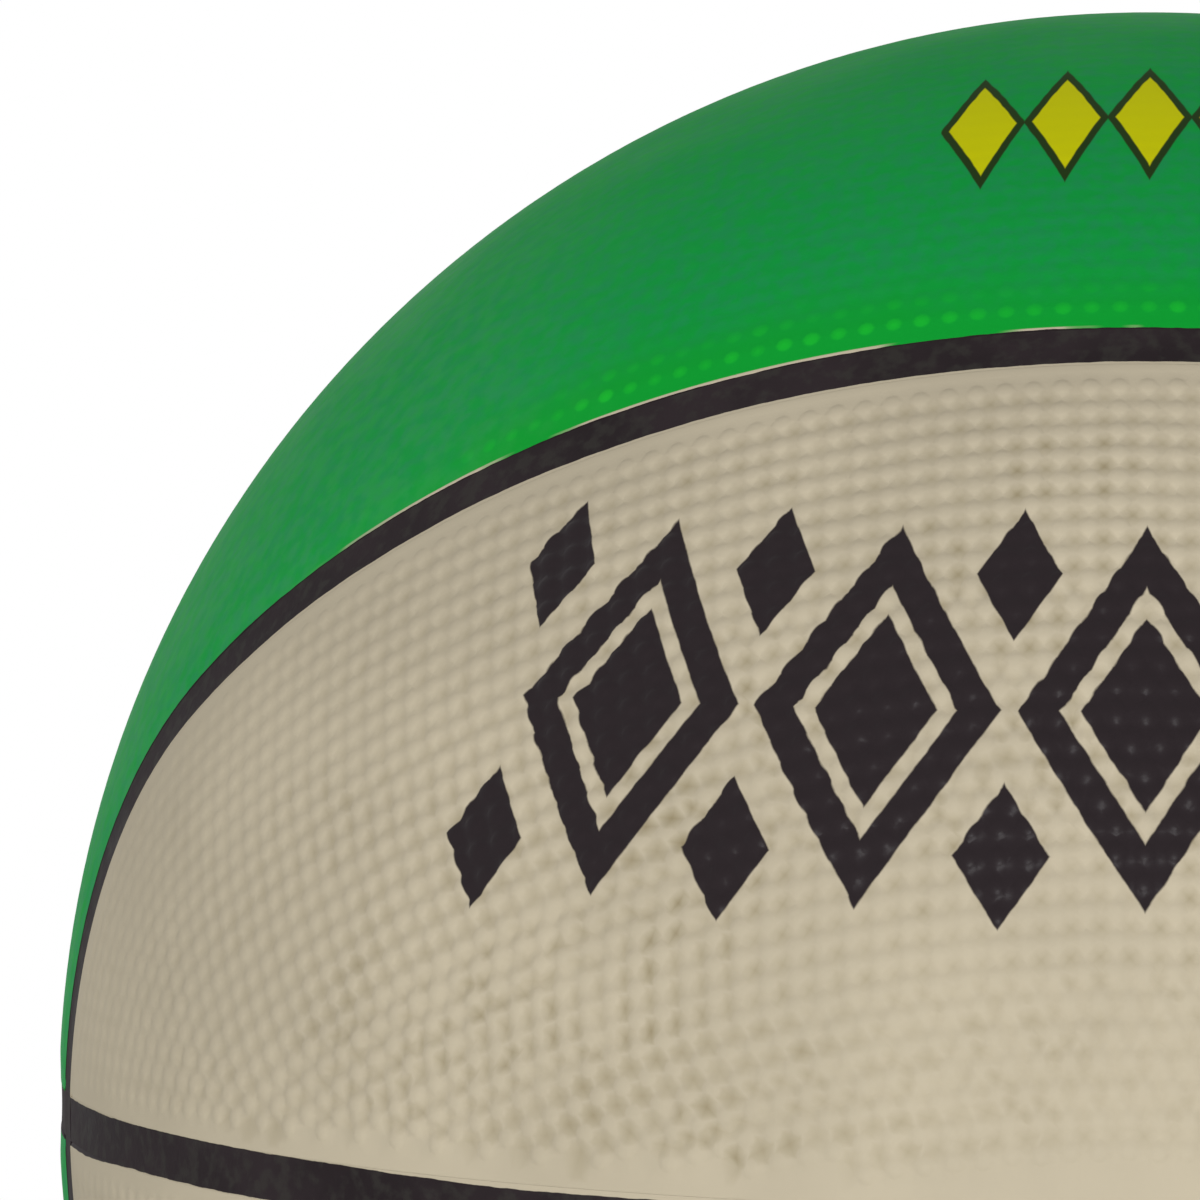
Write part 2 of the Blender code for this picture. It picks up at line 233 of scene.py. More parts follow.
class SeamSettings(bpy.types.PropertyGroup):
    """Section of the black strips in the seams."""

    depth: FloatProperty(
        name="Depth",
        description="Depth of a strip's edges below the pebbles' crowns",
        default=0.00022,
        min=0.0,
        unit="LENGTH",
    )
    hollow: FloatProperty(
        name="Hollow",
        description="How far a strip's middle lies below its edges",
        default=0.00006,
        min=0.0,
        unit="LENGTH",
    )
    joint_gap: FloatProperty(
        name="Joint gap",
        description="Gap between a strip and the panel beside it",
        default=0.00001,
        min=0.0,
        unit="LENGTH",
    )


class FinishSettings(bpy.types.PropertyGroup):
    """Colours of the rubber, the paint and the print."""

    cream: FloatVectorProperty(
        name="Cream",
        description="Rubber of the four middle panels",
        default=(0.526, 0.462, 0.340),
        subtype="COLOR",
    )
    green: FloatVectorProperty(
        name="Green",
        description="Paint of the four bands",
        default=(0.009, 0.335, 0.070),
        subtype="COLOR",
    )
    bright_green: FloatVectorProperty(
        name="Bright green",
        description="Thicker paint of the bands beside the long seams",
        default=(0.006, 0.365, 0.036),
        subtype="COLOR",
    )
    black: FloatVectorProperty(
        name="Black",
        description="Paint of the seams and ink of the large print",
        default=(0.023, 0.017, 0.019),
        subtype="COLOR",
    )
    yellow: FloatVectorProperty(
        name="Yellow",
        description="Ink of the small print",
        default=(0.68, 0.68, 0.004),
        subtype="COLOR",
    )


class StageSettings(bpy.types.PropertyGroup):
    """Camera, lamps and floor."""

    distance: FloatProperty(
        name="Camera distance",
        description="From the ball's centre to the camera",
        default=7.238 * BALL_RADIUS,
        unit="LENGTH",
    )
    elevation: FloatProperty(
        name="Camera elevation",
        description="Height of the camera above the level seam, as an angle",
        default=math.radians(6.461),
        subtype="ANGLE",
    )
    turn: FloatProperty(
        name="Camera turn",
        description="How far the camera looks to the left of the ball's centre line",
        default=math.radians(4.0126),
        subtype="ANGLE",
    )
    dip: FloatProperty(
        name="Camera dip",
        description="How far the camera looks below the horizon",
        default=math.radians(2.846),
        subtype="ANGLE",
    )
    roll: FloatProperty(
        name="Camera roll",
        description="How far the camera leans to its left",
        default=math.radians(0.1578),
        subtype="ANGLE",
    )
    lens: FloatProperty(
        name="Lens",
        description="Focal length in millimetres on a sensor 36 mm wide",
        default=234.19,
        min=10.0,
    )
    sky: FloatProperty(
        name="Sky light",
        description="Strength of the soft light from all round, which fades overhead and below",
        default=0.80,
        min=0.0,
    )
    key: FloatProperty(
        name="Key light",
        description="Power of each of the two lamps, in watts",
        default=4.0,
        min=0.0,
    )
    floor: FloatVectorProperty(
        name="Floor",
        description="Colour of the floor",
        default=(0.85, 0.85, 0.85),
        subtype="COLOR",
    )


def unit(points):
    """Directions of points, as points at a distance of 1."""
    return points / np.linalg.norm(points, axis=-1, keepdims=True)


def mirrored(points, sides):
    """Points on another side of the ball: sides holds 1 or -1 for X, Y and Z."""
    return np.asarray(points) * np.asarray(sides, float)


def end_arc(offset, angle):
    """A direction on the front long seam's left end arc, offset outwards from its centre line."""
    reach = ARC_RADIUS + offset
    outwards = math.cos(angle) * ARC_AXIS + math.sin(angle) * UP
    return math.cos(reach) * ARC_CENTRE + math.sin(reach) * outwards


def arc_angle_at(offset, level_offset):
    """Where the end arc, offset by so much, is level_offset above the level seam."""
    return math.asin(math.sin(level_offset) / math.sin(ARC_RADIUS + offset))


def upper_long_seam(offset, level_offset):
    """Directions along the upper half of the front long seam, from its left end to its right one."""
    first = arc_angle_at(offset, level_offset)
    angles = [first + (ARC_SWEEP - first) * step / ARC_STEPS for step in range(ARC_STEPS + 1)]
    left = np.array([end_arc(offset, angle) for angle in angles])
    run = []
    for step in range(1, RUN_STEPS):
        turn = RUN_START + (math.pi - 2 * RUN_START) * step / RUN_STEPS
        along = math.sin(turn) * RUN_MIDDLE - math.cos(turn) * RIGHT
        run.append(math.cos(offset) * along + math.sin(offset) * RUN_NORMAL)
    return np.concatenate((left, run, mirrored(left, (-1, 1, 1))[::-1]))


def level_run(start, end, count):
    """Directions at one height, along the level seam from one direction to another."""
    latitude = math.asin(start[2])
    first = math.atan2(start[0], -start[1])
    last = math.atan2(end[0], -end[1])
    longitudes = np.linspace(first, last, count + 1)[:, None]
    flat = np.sin(longitudes) * RIGHT + np.cos(longitudes) * FRONT
    return math.cos(latitude) * flat + math.sin(latitude) * UP


def upright_run(offset, first, last, count):
    """Directions beside the upright seam, from one turn to another, counted from -X over the top."""
    turns = np.linspace(first, last, count + 1)[:, None]
    ring = np.sin(turns) * UP - np.cos(turns) * RIGHT
    return math.cos(offset) * ring + math.sin(offset) * FRONT


def crossing(long_offset, level_offset):
    """The left corner where lines beside the front long seam and the level seam meet."""
    return end_arc(long_offset, arc_angle_at(long_offset, level_offset))


def pole_corner(upright_offset, level_offset):
    """The left corner where lines beside the upright seam and the level seam meet."""
    front = math.sin(upright_offset)
    height = math.sin(level_offset)
    return front * FRONT + height * UP - math.sqrt(1 - front**2 - height**2) * RIGHT


def eased(loop):
    """A closed loop of directions with its corners rounded."""
    shifts = range(-CORNER_STEPS, CORNER_STEPS + 1)
    return unit(sum(np.roll(loop, shift, axis=0) for shift in shifts))


def centre_loop(inset):
    """Outline of the front upper panel, seen from outside and turning left, inset from its seams."""
    edge = HALF_SEAM + inset
    corner = crossing(-edge, edge)
    below = level_run(corner, mirrored(corner, (-1, 1, 1)), LEVEL_STEPS)
    above = upper_long_seam(-edge, edge)[::-1]
    return eased(np.concatenate((below[:-1], above[:-1])))


def band_loop(inset):
    """Outline of the panel between the front long seam and the top of the upright seam."""
    edge = HALF_SEAM + inset
    start = math.asin(math.tan(edge))
    long_side = upper_long_seam(edge, edge)
    left_end = level_run(pole_corner(edge, edge), crossing(edge, edge), SHORT_STEPS)
    right_end = mirrored(left_end, (-1, 1, 1))[::-1]
    over = upright_run(edge, math.pi - start, start, HALF_UPRIGHT_STEPS)
    return eased(np.concatenate((long_side[:-1], right_end[:-1], over[:-1], left_end[:-1])))


def valve_loop(inset):
    """Outline of the valve's hole, grown by inset and mirrored to the front, with the panel on its left."""
    reach = math.asin(VALVE_HOLE_RADIUS / BALL_RADIUS) + inset
    turns = np.linspace(0, 2 * math.pi, VALVE_HOLE_STEPS, endpoint=False)[:, None]
    around = np.cos(turns) * VALVE_SIDE + np.sin(turns) * VALVE_TOP
    hole = math.cos(reach) * VALVE_AXIS + math.sin(reach) * around
    return mirrored(hole, (1, -1, 1))


def long_seam_distance(points):
    """Angle from each direction to the nearer long seam, positive outside the loop that it makes."""
    folded = np.stack((-np.abs(points[:, 0]), -np.abs(points[:, 1]), np.abs(points[:, 2])), axis=1)
    beside_arc = np.arctan2(folded @ UP, folded @ ARC_AXIS) < ARC_SWEEP
    from_arc = np.arccos(np.clip(folded @ ARC_CENTRE, -1, 1)) - ARC_RADIUS
    from_run = np.arcsin(np.clip(folded @ RUN_NORMAL, -1, 1))
    return np.where(beside_arc, from_arc, from_run)


def past_paint(points):
    """Millimetres from each direction to the edge of the nearest seam's paint, negative on the paint."""
    reach = BALL_RADIUS / MM
    from_long = long_seam_distance(points) * reach
    aside = np.arctan2(np.abs(points[:, 0]), np.abs(points[:, 1]))
    upper = np.interp(aside, UPPER_LEVEL_TURNS, UPPER_LEVEL_PAINT)
    lower = np.interp(aside, LOWER_LEVEL_TURNS, LOWER_LEVEL_PAINT)
    level_paint = np.where(points[:, 2] > 0, upper, lower)
    past_long = np.where(from_long > 0, from_long - OUTER_LONG_PAINT, -from_long - INNER_LONG_PAINT)
    past_level = np.arcsin(np.abs(points[:, 2])) * reach - level_paint
    past_upright = np.arcsin(np.abs(points[:, 1])) * reach - UPRIGHT_PAINT
    return np.minimum(np.minimum(past_long, past_level), past_upright)


def surface_attributes(points):
    """For shading: where each vertex lies beside the long seams and the seams' paint, in millimetres."""
    ways = unit(points)
    return {
        "long_gap": long_seam_distance(ways) * BALL_RADIUS / MM,
        "past_paint": past_paint(ways),
    }


def centre_margin(points):
    """How far each direction of the front upper panel lies from the nearest seam's middle."""
    height = np.arcsin(np.clip(points[:, 2], -1, 1))
    return np.minimum(height, -long_seam_distance(points))


def band_margin(points):
    """How far each direction of the top front band lies from the nearest seam's middle."""
    height = np.arcsin(np.clip(points[:, 2], -1, 1))
    depth = np.arcsin(np.clip(-points[:, 1], -1, 1))
    return np.minimum(np.minimum(height, depth), long_seam_distance(points))


def valve_panel_margin(points):
    """As centre_margin, but also clear of the valve's hole, as if that were on the front."""
    axis = mirrored(VALVE_AXIS, (1, -1, 1))
    hole = math.asin(VALVE_HOLE_RADIUS / BALL_RADIUS)
    from_hole = np.arccos(np.clip(points @ axis, -1, 1)) - hole + HALF_SEAM
    return np.minimum(centre_margin(points), from_hole)


def flattened(points, centre):
    """A stereographic picture of directions, seen from outside, with centre in its middle."""
    side = unit(np.cross(RIGHT, centre))
    top = np.cross(centre, side)
    spread = 2 / (1 + points @ centre)
    return np.stack((points @ side * spread, points @ top * spread), axis=1)


def triangulated(points, centre, edges=()):
    """Triangles between directions, turning left seen from outside, with the given edges as sides."""
    flat = flattened(points, centre)
    found = delaunay_2d_cdt(flat.tolist(), list(edges), [], WHOLE_HULL, COINCIDENT, False)
    if len(found[0]) != len(points):
        raise RuntimeError("two points of a panel coincide")
    return np.array(found[2])


def sides_of(triangles):
    """The pairs of points that triangles join, each once."""
    pairs = np.concatenate((triangles[:, [0, 1]], triangles[:, [1, 2]], triangles[:, [2, 0]]))
    return np.unique(np.sort(pairs, axis=1), axis=0)


def tangents(points):
    """Two directions square to each direction and to each other."""
    helper = np.where(np.abs(points[:, :1]) < 0.8, RIGHT, UP)
    first = unit(np.cross(points, helper))
    return first, np.cross(points, first)


def pushed_inside(points, margin, least):
    """Directions with those too near a seam moved back to the least distance from it."""
    short = least - margin(points)
    outside = np.flatnonzero(short > 0)
    if not len(outside):
        return points
    stray = points[outside]
    probe = 1e-4
    slopes = [(margin(unit(stray + probe * way)) - margin(stray)) / probe for way in tangents(stray)]
    uphill = sum(slope[:, None] * way for slope, way in zip(slopes, tangents(stray)))
    moved = points.copy()
    moved[outside] = unit(stray + short[outside][:, None] * uphill)
    return moved


# A pebble's form: rings of points at a share of its radius, each with its height and its first turn
DOME_STEPS = 8
BARE_DOME = ((0.32, 0.94, 0.0), (0.60, 0.75, 0.5), (0.85, 0.42, 0.0))
PAINTED_DOME = ((0.50, 0.84, 0.0), (0.84, 0.42, 0.5))
LOWEST_CROWN = 0.78
SADDLE_HEIGHT = 0.32
# Dust in the pits, together with painted shade there, as shares that the pits of each kind get
SMALL_PIT_SHADE_AND_DUST = (0.25, 0.75)  # either of these in a pit among three pebbles, where one among four has 1
LEAST_SHADE_AND_DUST = 0.5  # smallest share of its dust that a pit keeps
SHADE_AND_DUST_SPREAD = 0.42  # share of a pit's dust that lies round it
MARGIN_RELIEF = 0.55
MARGIN_TONE = 0.5  # relief that the smooth margin is shaded as, clear of the pits and the crowns
WIDE_GAP = 1.22  # pitches between two pebbles that have one pit between them
FIELD_GAP = 1.7  # pitches past which two pebbles have smooth ground between them
DOME_CLEARANCE = 0.96  # nearest that a pit comes to a crown, as a share of the dome's room

# Share of the relief by how squarely a place faces front or back: pebbles get lower towards the sides
DRAFT_FACINGS = (0.20, 0.42, 0.52, 0.75)
DRAFT_SHARES = (0.14, 0.34, 0.58, 1.0)

# How pebbles lie: the room that each wants and how far it strays from its row, as shares of the pitch
ROOM = 1.04
STRAY = 0.07
PUSH = 0.2  # part of what two crowded pebbles lack in room by which each gives way in a round
ROW_SAMPLES = 400
SLIGHT = 1e-6


def seam_row(distance):
    """Directions from left to right at one distance above or, if negative, below the front long seam."""
    turns = np.linspace(RUN_START, math.pi - RUN_START, ROW_SAMPLES)[:, None]
    along = np.sin(turns) * RUN_MIDDLE - np.cos(turns) * RIGHT
    run = math.cos(distance) * along + math.sin(distance) * RUN_NORMAL
    if distance <= -ARC_RADIUS:
        return run
    angles = np.linspace(0, ARC_SWEEP, ROW_SAMPLES)
    left = np.array([end_arc(distance, angle) for angle in angles])
    return np.concatenate((left, run[1:-1], mirrored(left, (-1, 1, 1))[::-1]))


def spaced_along(line, pitch):
    """Directions spaced evenly, about a pitch apart, from end to end of a line of closer ones."""
    lengths = np.linalg.norm(np.diff(line, axis=0), axis=1)
    places = np.concatenate(([0.0], np.cumsum(lengths)))
    count = max(round(places[-1] / pitch), 1)
    chosen = np.linspace(0, places[-1], count + 1)
    return unit(np.stack([np.interp(chosen, places, axis) for axis in line.T], axis=1))


def spiral(count):
    """Directions spread evenly over the ball along one spiral round X."""
    index = np.arange(count) + 0.5
    along = 1 - 2 * index / count
    turn = index * math.pi * (3 - math.sqrt(5))
    across = np.sqrt(1 - along**2)
    return np.stack((along, across * np.cos(turn), across * np.sin(turn)), axis=1)


def pebble_centres(margin, centre, side, pebbles, random):
    """Directions of a panel's pebbles: rows beside the long seam, pushed apart where they crowd."""
    pitch = pebbles.pitch / BALL_RADIUS
    least = HALF_SEAM + pebbles.first_row / BALL_RADIUS
    depth = LONG_SEAM_LEAN - 2 * least
    rows = []
    for distance in np.linspace(least, least + depth, round(depth / pitch) + 1):
        line = seam_row(side * distance)
        line = line[margin(line) > least - SLIGHT]
        if len(line) > 1:
            rows.append(spaced_along(line, pitch))
    points = np.concatenate(rows)
    points = unit(points + pitch * random.uniform(-STRAY, STRAY, points.shape))
    for _ in range(pebbles.rounds):
        sides = sides_of(triangulated(points, centre))
        step = points[sides[:, 1]] - points[sides[:, 0]]
        length = np.linalg.norm(step, axis=1)
        crowded = np.maximum(ROOM * pitch - length, 0) / length
        push = PUSH * step * crowded[:, None]
        points = points.copy()
        np.add.at(points, sides[:, 1], push)
        np.add.at(points, sides[:, 0], -push)
        points = pushed_inside(unit(points), margin, least)
    return points


def outside_domes(spots, crowns, reach):
    """Whether each direction lies outside the dome of the crown nearest to it."""
    tree = KDTree(len(crowns))
    for index, crown in enumerate(crowns):
        tree.insert(crown, index)
    tree.balance()
    found = [tree.find(spot) for spot in spots]
    owner = np.array([index for _, index, _ in found])
    gap = np.array([distance for _, _, distance in found])
    return gap > reach[owner]


def pebble_relief(points, centre, pitch, dome, random):
    """Directions of a pebbled surface, their heights from 0 in pits to 1 on crowns, and the dust and
    painted shade of their pits.
    """
    triangles = triangulated(points, centre)
    spans = np.linalg.norm(points[triangles] - points[np.roll(triangles, 1, axis=1)], axis=2).max(axis=1)
    narrow = triangles[spans < WIDE_GAP * pitch]
    sides = sides_of(triangles[spans < FIELD_GAP * pitch])
    length = np.linalg.norm(points[sides[:, 1]] - points[sides[:, 0]], axis=1)
    nearest = np.full(len(points), pitch)
    for end in (0, 1):
        np.minimum.at(nearest, sides[:, end], length)
    pits = unit(points[narrow].sum(axis=1))
    saddles = unit(points[sides].sum(axis=1))
    saddle = np.interp(length / pitch, (1.0, WIDE_GAP), (SADDLE_HEIGHT, 0.0))
    lows = np.concatenate((saddles, pits))
    depths = np.concatenate((saddle, np.zeros(len(pits))))
    # Dust and painted shade in the pits: whole in pits among four pebbles, a random part in pits among
    # three
    shade_and_dust = np.concatenate((length > WIDE_GAP * pitch, random.choice(SMALL_PIT_SHADE_AND_DUST, len(pits))))
    shade_and_dust *= random.uniform(LEAST_SHADE_AND_DUST, 1.0, len(shade_and_dust))
    kept = outside_domes(lows, points, DOME_CLEARANCE * nearest / 2)
    crown = random.uniform(LOWEST_CROWN, 1.0, len(points)) * nearest / pitch
    blocks = [lows[kept], points]
    heights = [depths[kept], crown]
    first, second = tangents(points)
    for reach, height, shift in dome:
        spread = (reach * nearest / 2)[:, None]
        for step in range(DOME_STEPS):
            turn = 2 * math.pi * (step + shift) / DOME_STEPS
            way = math.cos(turn) * first + math.sin(turn) * second
            blocks.append(np.cos(spread) * points + np.sin(spread) * way)
            heights.append(height * crown)
    heights = np.concatenate(heights)
    all_shade_and_dust = np.zeros(len(heights))
    all_shade_and_dust[: kept.sum()] = shade_and_dust[kept]
    return np.concatenate(blocks), heights, all_shade_and_dust


def spread_shade_and_dust(shade_and_dust, sides):
    """Pit dust and painted pit shade, with some of it carried to each vertex's neighbours."""
    carried = np.zeros(len(shade_and_dust))
    for end, other in ((0, 1), (1, 0)):
        np.maximum.at(carried, sides[:, end], shade_and_dust[sides[:, other]])
    return np.maximum(shade_and_dust, SHADE_AND_DUST_SPREAD * carried)


def eased_fall(distance, fall, width):
    """Depth that a panel's margin has eased down by, at a distance from the nearest seam's middle."""
    share = np.clip((distance - HALF_SEAM) * BALL_RADIUS / width, 0.0, 1.0)
    return fall * (1 - share**2 * (3 - 2 * share))


def edge_profile(pebbles):
    """Insets and depths of the rows of points down a panel's rounded edge."""
    roll = pebbles.edge_roll / BALL_RADIUS
    profile = []
    for step in range(1, EDGE_ROWS + 1):
        turn = math.pi / 2 * step / EDGE_ROWS
        profile.append((roll * (1 - math.sin(turn)), pebbles.edge_drop * (1 - math.cos(turn))))
    return profile


def walls(loops, starts):
    """Triangles down a panel's edges, between rows of points along its loops that begin at starts."""
    faces = []
    first = 0
    for loop in loops:
        here = first + np.arange(len(loop))
        there = first + (np.arange(len(loop)) + 1) % len(loop)
        for above, below in zip(starts, starts[1:]):
            faces.append(np.stack((above + here, below + here, below + there), axis=1))
            faces.append(np.stack((above + here, below + there, above + there), axis=1))
        first += len(loop)
    return faces


def panel_solid(outlines, margin, side, pebbles, height, dome, fall, seed):
    """Vertices, triangles and shading values of a pebbled panel, whose edges roll down to its seams."""
    roll = pebbles.edge_roll / BALL_RADIUS
    loops = [outline(roll) for outline in outlines]
    rim = np.concatenate(loops)
    centre = unit(loops[0].mean(axis=0))
    random = np.random.default_rng(seed)
    crowns = pebble_centres(margin, centre, side, pebbles, random)
    bumps, heights, shade_and_dust = pebble_relief(crowns, centre, pebbles.pitch / BALL_RADIUS, dome, random)
    border = np.concatenate([outline(2 * roll) for outline in outlines])
    points = np.concatenate((rim, border, bumps))
    smooth = len(rim) + len(border)
    relief = np.concatenate((np.full(smooth, MARGIN_RELIEF), heights))
    outer = closed_skin(points, centre, loops)
    base = COVER_RADIUS - height
    share = np.interp(np.abs(points[:, 1]), DRAFT_FACINGS, DRAFT_SHARES)
    rise = MARGIN_RELIEF + share * (relief - MARGIN_RELIEF)
    fallen = eased_fall(margin(points), fall, pebbles.fall_width)
    blocks = [points * (base + height * rise - fallen)[:, None]]
    relief[:smooth] = MARGIN_TONE
    rim_radius = base + height * MARGIN_RELIEF
    for inset, depth in edge_profile(pebbles):
        row = np.concatenate([outline(inset) for outline in outlines])
        fallen = eased_fall(margin(row), fall, pebbles.fall_width)
        blocks.append(row * (rim_radius - depth - fallen)[:, None])
    inner_points = np.concatenate((row, sparse_points(margin, centre)))
    inner = closed_skin(inner_points, centre, loops)
    blocks.append(inner_points * PANEL_FLOOR)
    starts = np.cumsum([0] + [len(block) for block in blocks[:-1]])
    faces = [outer, inner[:, ::-1] + starts[-1], *walls(loops, starts)]
    points = np.concatenate(blocks)
    tones = np.full(len(points), MARGIN_TONE)
    tones[: len(relief)] = relief
    all_shade_and_dust = np.zeros(len(points))
    all_shade_and_dust[smooth : starts[1]] = shade_and_dust
    all_shade_and_dust = spread_shade_and_dust(all_shade_and_dust, sides_of(outer))
    return points, np.concatenate(faces), {"relief": tones, "shade_and_dust": all_shade_and_dust}


def sparse_points(margin, centre):
    """Directions for the smooth inside of a panel."""
    points = spiral(INSIDE_POINTS)
    return points[(points @ centre > 0) & (margin(points) > INSIDE_CLEARANCE)]


def closed_skin(points, centre, loops):
    """Triangles between directions, of which the first ones are the loops: an outline and any holes."""
    edges = []
    owner = np.full(len(points), -1)
    first = 0
    for index, loop in enumerate(loops):
        count = len(loop)
        edges += [(first + step, first + (step + 1) % count) for step in range(count)]
        owner[first : first + count] = index
        first += count
    triangles = triangulated(points, centre, edges)
    corners = owner[triangles]
    on_one_loop = (corners == corners[:, :1]).all(axis=1)
    rises = (triangles < np.roll(triangles, -1, axis=1)).sum(axis=1)
    in_hole = on_one_loop & (corners[:, 0] > 0)
    beyond_outline = on_one_loop & (corners[:, 0] == 0) & (rises == 1)
    return triangles[~(in_hole | beyond_outline)]


def placed(name, data):
    """A new object in the scene."""
    made = bpy.data.objects.new(name, data)
    bpy.context.scene.collection.objects.link(made)
    return made


def dress(piece, material, body, node):
    """Give a piece its material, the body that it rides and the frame's node that it replaces."""
    piece.data.materials.append(material)
    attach(piece, body)
    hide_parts(node)


def mesh_piece(name, points, triangles, attributes):
    """A smooth mesh object in the frame, with a number for each vertex in each attribute."""
    mesh = bpy.data.meshes.new(name)
    mesh.vertices.add(len(points))
    mesh.vertices.foreach_set("co", np.ascontiguousarray(points, np.float32).ravel())
    mesh.loops.add(triangles.size)
    mesh.loops.foreach_set("vertex_index", np.ascontiguousarray(triangles, np.int32).ravel())
    mesh.polygons.add(len(triangles))
    mesh.polygons.foreach_set("loop_start", np.arange(0, triangles.size, 3, dtype=np.int32))
    mesh.polygons.foreach_set("use_smooth", np.ones(len(triangles), bool))
    mesh.update(calc_edges=True)
    if mesh.validate():
        raise RuntimeError(f"{name} has faces that don't fit together")
    for key, values in attributes.items():
        layer = mesh.attributes.new(key, "FLOAT", "POINT")
        layer.data.foreach_set("value", np.ascontiguousarray(values, np.float32))
    mesh.set_sharp_from_angle(angle=SHARP_ANGLE)
    return placed(name, mesh)


def add_cover(made, node, solid, sides, material):
    """A panel or strip of the cover, mirrored to its side of the ball and named after how it is made."""
    points, triangles, tones = solid
    points = mirrored(points, sides)
    if np.prod(sides) < 0:
        triangles = triangles[:, ::-1]
    piece = mesh_piece(f"{made}_{node}", points, triangles, {**tones, **surface_attributes(points)})
    dress(piece, material, "ball", node)


def ribbon(lines, closed):
    """Vertices and triangles of a bar whose cross-section's corners run along lines of points."""
    points = np.stack(lines, axis=1)
    count, corners = points.shape[:2]
    index = np.arange(count * corners).reshape(count, corners)
    here = index if closed else index[:-1]
    there = np.roll(index, -1, axis=0) if closed else index[1:]
    beside_here = np.roll(here, -1, axis=1)
    beside_there = np.roll(there, -1, axis=1)
    faces = [
        np.stack((here, there, beside_there), axis=2).reshape(-1, 3),
        np.stack((here, beside_there, beside_here), axis=2).reshape(-1, 3),
    ]
    if not closed:
        for end in (index[0], index[-1, ::-1]):
            fan = np.stack((np.full(corners - 2, end[0]), end[1:-1], end[2:]), axis=1)
            faces.append(fan)
    return points.reshape(-1, 3), np.concatenate(faces)


def strip_solid(line, closed, seams):
    """A seam strip: line gives the directions beside the seam, left of travel for a positive offset."""
    half = HALF_SEAM - seams.joint_gap / BALL_RADIUS
    crown = COVER_RADIUS - seams.depth
    lines = [line(half) * PANEL_FLOOR, line(-half) * PANEL_FLOOR]
    for share in np.linspace(-1, 1, STRIP_LINES):
        hollow = seams.hollow * (1 - share**2)
        lines.append(line(share * half) * (crown - hollow))
    points, triangles = ribbon(lines, closed)
    return points, triangles, {}


def upright_line(offset):
    """Directions beside the whole upright seam."""
    return upright_run(-offset, 0.0, 2 * math.pi, 2 * HALF_UPRIGHT_STEPS)[:-1]


def long_line(offset):
    """Directions beside the whole front long seam."""
    upper = upper_long_seam(offset, 0.0)
    return np.concatenate((upper, mirrored(upper, (1, 1, -1))[-2:0:-1]))


def level_line(offset):
    """Directions beside the front of the level seam, inside the long seam."""
    corner = crossing(-HALF_SEAM, offset)
    return level_run(corner, mirrored(corner, (-1, 1, 1)), LEVEL_STEPS)


def short_level_line(offset):
    """Directions beside the level seam between the upright and the long seam, at the left."""
    return level_run(pole_corner(HALF_SEAM, offset), crossing(HALF_SEAM, offset), SHORT_STEPS)


def rounded(profile, closed):
    """A profile of (radius, height) points with its corners rounded."""
    count = len(profile)
    points = [Vector(point) for point in profile]
    made = []
    for index, point in enumerate(points):
        if not closed and index in (0, count - 1):
            made.append(point)
            continue
        before = points[index - 1] - point
        after = points[(index + 1) % count] - point
        reach = min(ROUND_RADIUS, before.length * ROUND_SHARE, after.length * ROUND_SHARE)
        start = point + before.normalized() * reach
        end = point + after.normalized() * reach
        for step in range(ROUND_STEPS + 1):
            share = step / ROUND_STEPS
            made.append(start.lerp(point, share).lerp(point.lerp(end, share), share))
    return made


def turned(name, profile, closed):
    """A smooth object of a profile turned round the valve's axis."""
    shape = bmesh.new()
    verts = [shape.verts.new((radius, 0.0, height)) for radius, height in profile]
    pairs = list(zip(verts, verts[1:]))
    if closed:
        pairs.append((verts[-1], verts[0]))
    edges = [shape.edges.new(pair) for pair in pairs]
    bmesh.ops.spin(
        shape,
        geom=verts + edges,
        cent=(0, 0, 0),
        axis=(0, 0, 1),
        angle=2 * math.pi,
        steps=TURN_STEPS,
        use_merge=True,
    )
    bmesh.ops.remove_doubles(shape, verts=shape.verts, dist=TURNED_COINCIDENT)
    bmesh.ops.recalc_face_normals(shape, faces=shape.faces)
    turn = Matrix((VALVE_SIDE, VALVE_TOP, VALVE_AXIS)).transposed().to_4x4()
    shape.transform(Matrix.Translation(Vector(VALVE_AXIS * BALL_RADIUS)) @ turn)
    mesh = bpy.data.meshes.new(name)
    shape.to_mesh(mesh)
    shape.free()
    mesh.shade_smooth()
    mesh.set_sharp_from_angle(angle=TURNED_SHARP_ANGLE)
    return placed(name, mesh)


def under_bladder(radius, depth):
    """A point of the valve's flange, which follows the inside of the bladder."""
    return radius, math.sqrt((FLANGE_CROWN - depth) ** 2 - radius**2) - BALL_RADIUS


def housing_profile():
    """Half the housing's section: radii from the valve's axis and heights from the ball's surface."""
    face = -VALVE_RECESS
    seat = face - HEAD_THICKNESS - FIT_GAP
    end = face - PLUG_LENGTH - STEM_TAIL
    spread = np.linspace(COLLAR_RADIUS, FLANGE_RADIUS, FLANGE_STEPS)
    profile = [(HEAD_SEAT_RADIUS, seat), (HEAD_SEAT_RADIUS, face), (COLLAR_RADIUS, face)]
    profile += [under_bladder(radius, 0.0) for radius in spread]
    profile += [under_bladder(radius, FLANGE_THICKNESS) for radius in spread[::-1]]
    profile += [under_bladder(STEM_RADIUS, FLANGE_THICKNESS)]
    profile += [(STEM_RADIUS, end), (BORE_RADIUS, end), (BORE_RADIUS, seat)]
    return profile


def plug_profile():
    """Half the plug's section, in the same way, from the needle hole's end to the tip."""
    face = -VALVE_RECESS
    tip = face - PLUG_LENGTH
    return [
        (0.0, face - NEEDLE_HOLE_DEPTH - NEEDLE_HOLE_RADIUS),
        (NEEDLE_HOLE_RADIUS, face - NEEDLE_HOLE_DEPTH),
        (NEEDLE_HOLE_RADIUS, face),
        (HEAD_RADIUS, face),
        (HEAD_RADIUS, face - HEAD_THICKNESS),
        (SHANK_RADIUS, face - HEAD_THICKNESS),
        (SHANK_RADIUS, tip + PLUG_TIP_LENGTH),
        (NEEDLE_HOLE_RADIUS, tip),
        (0.0, tip),
    ]


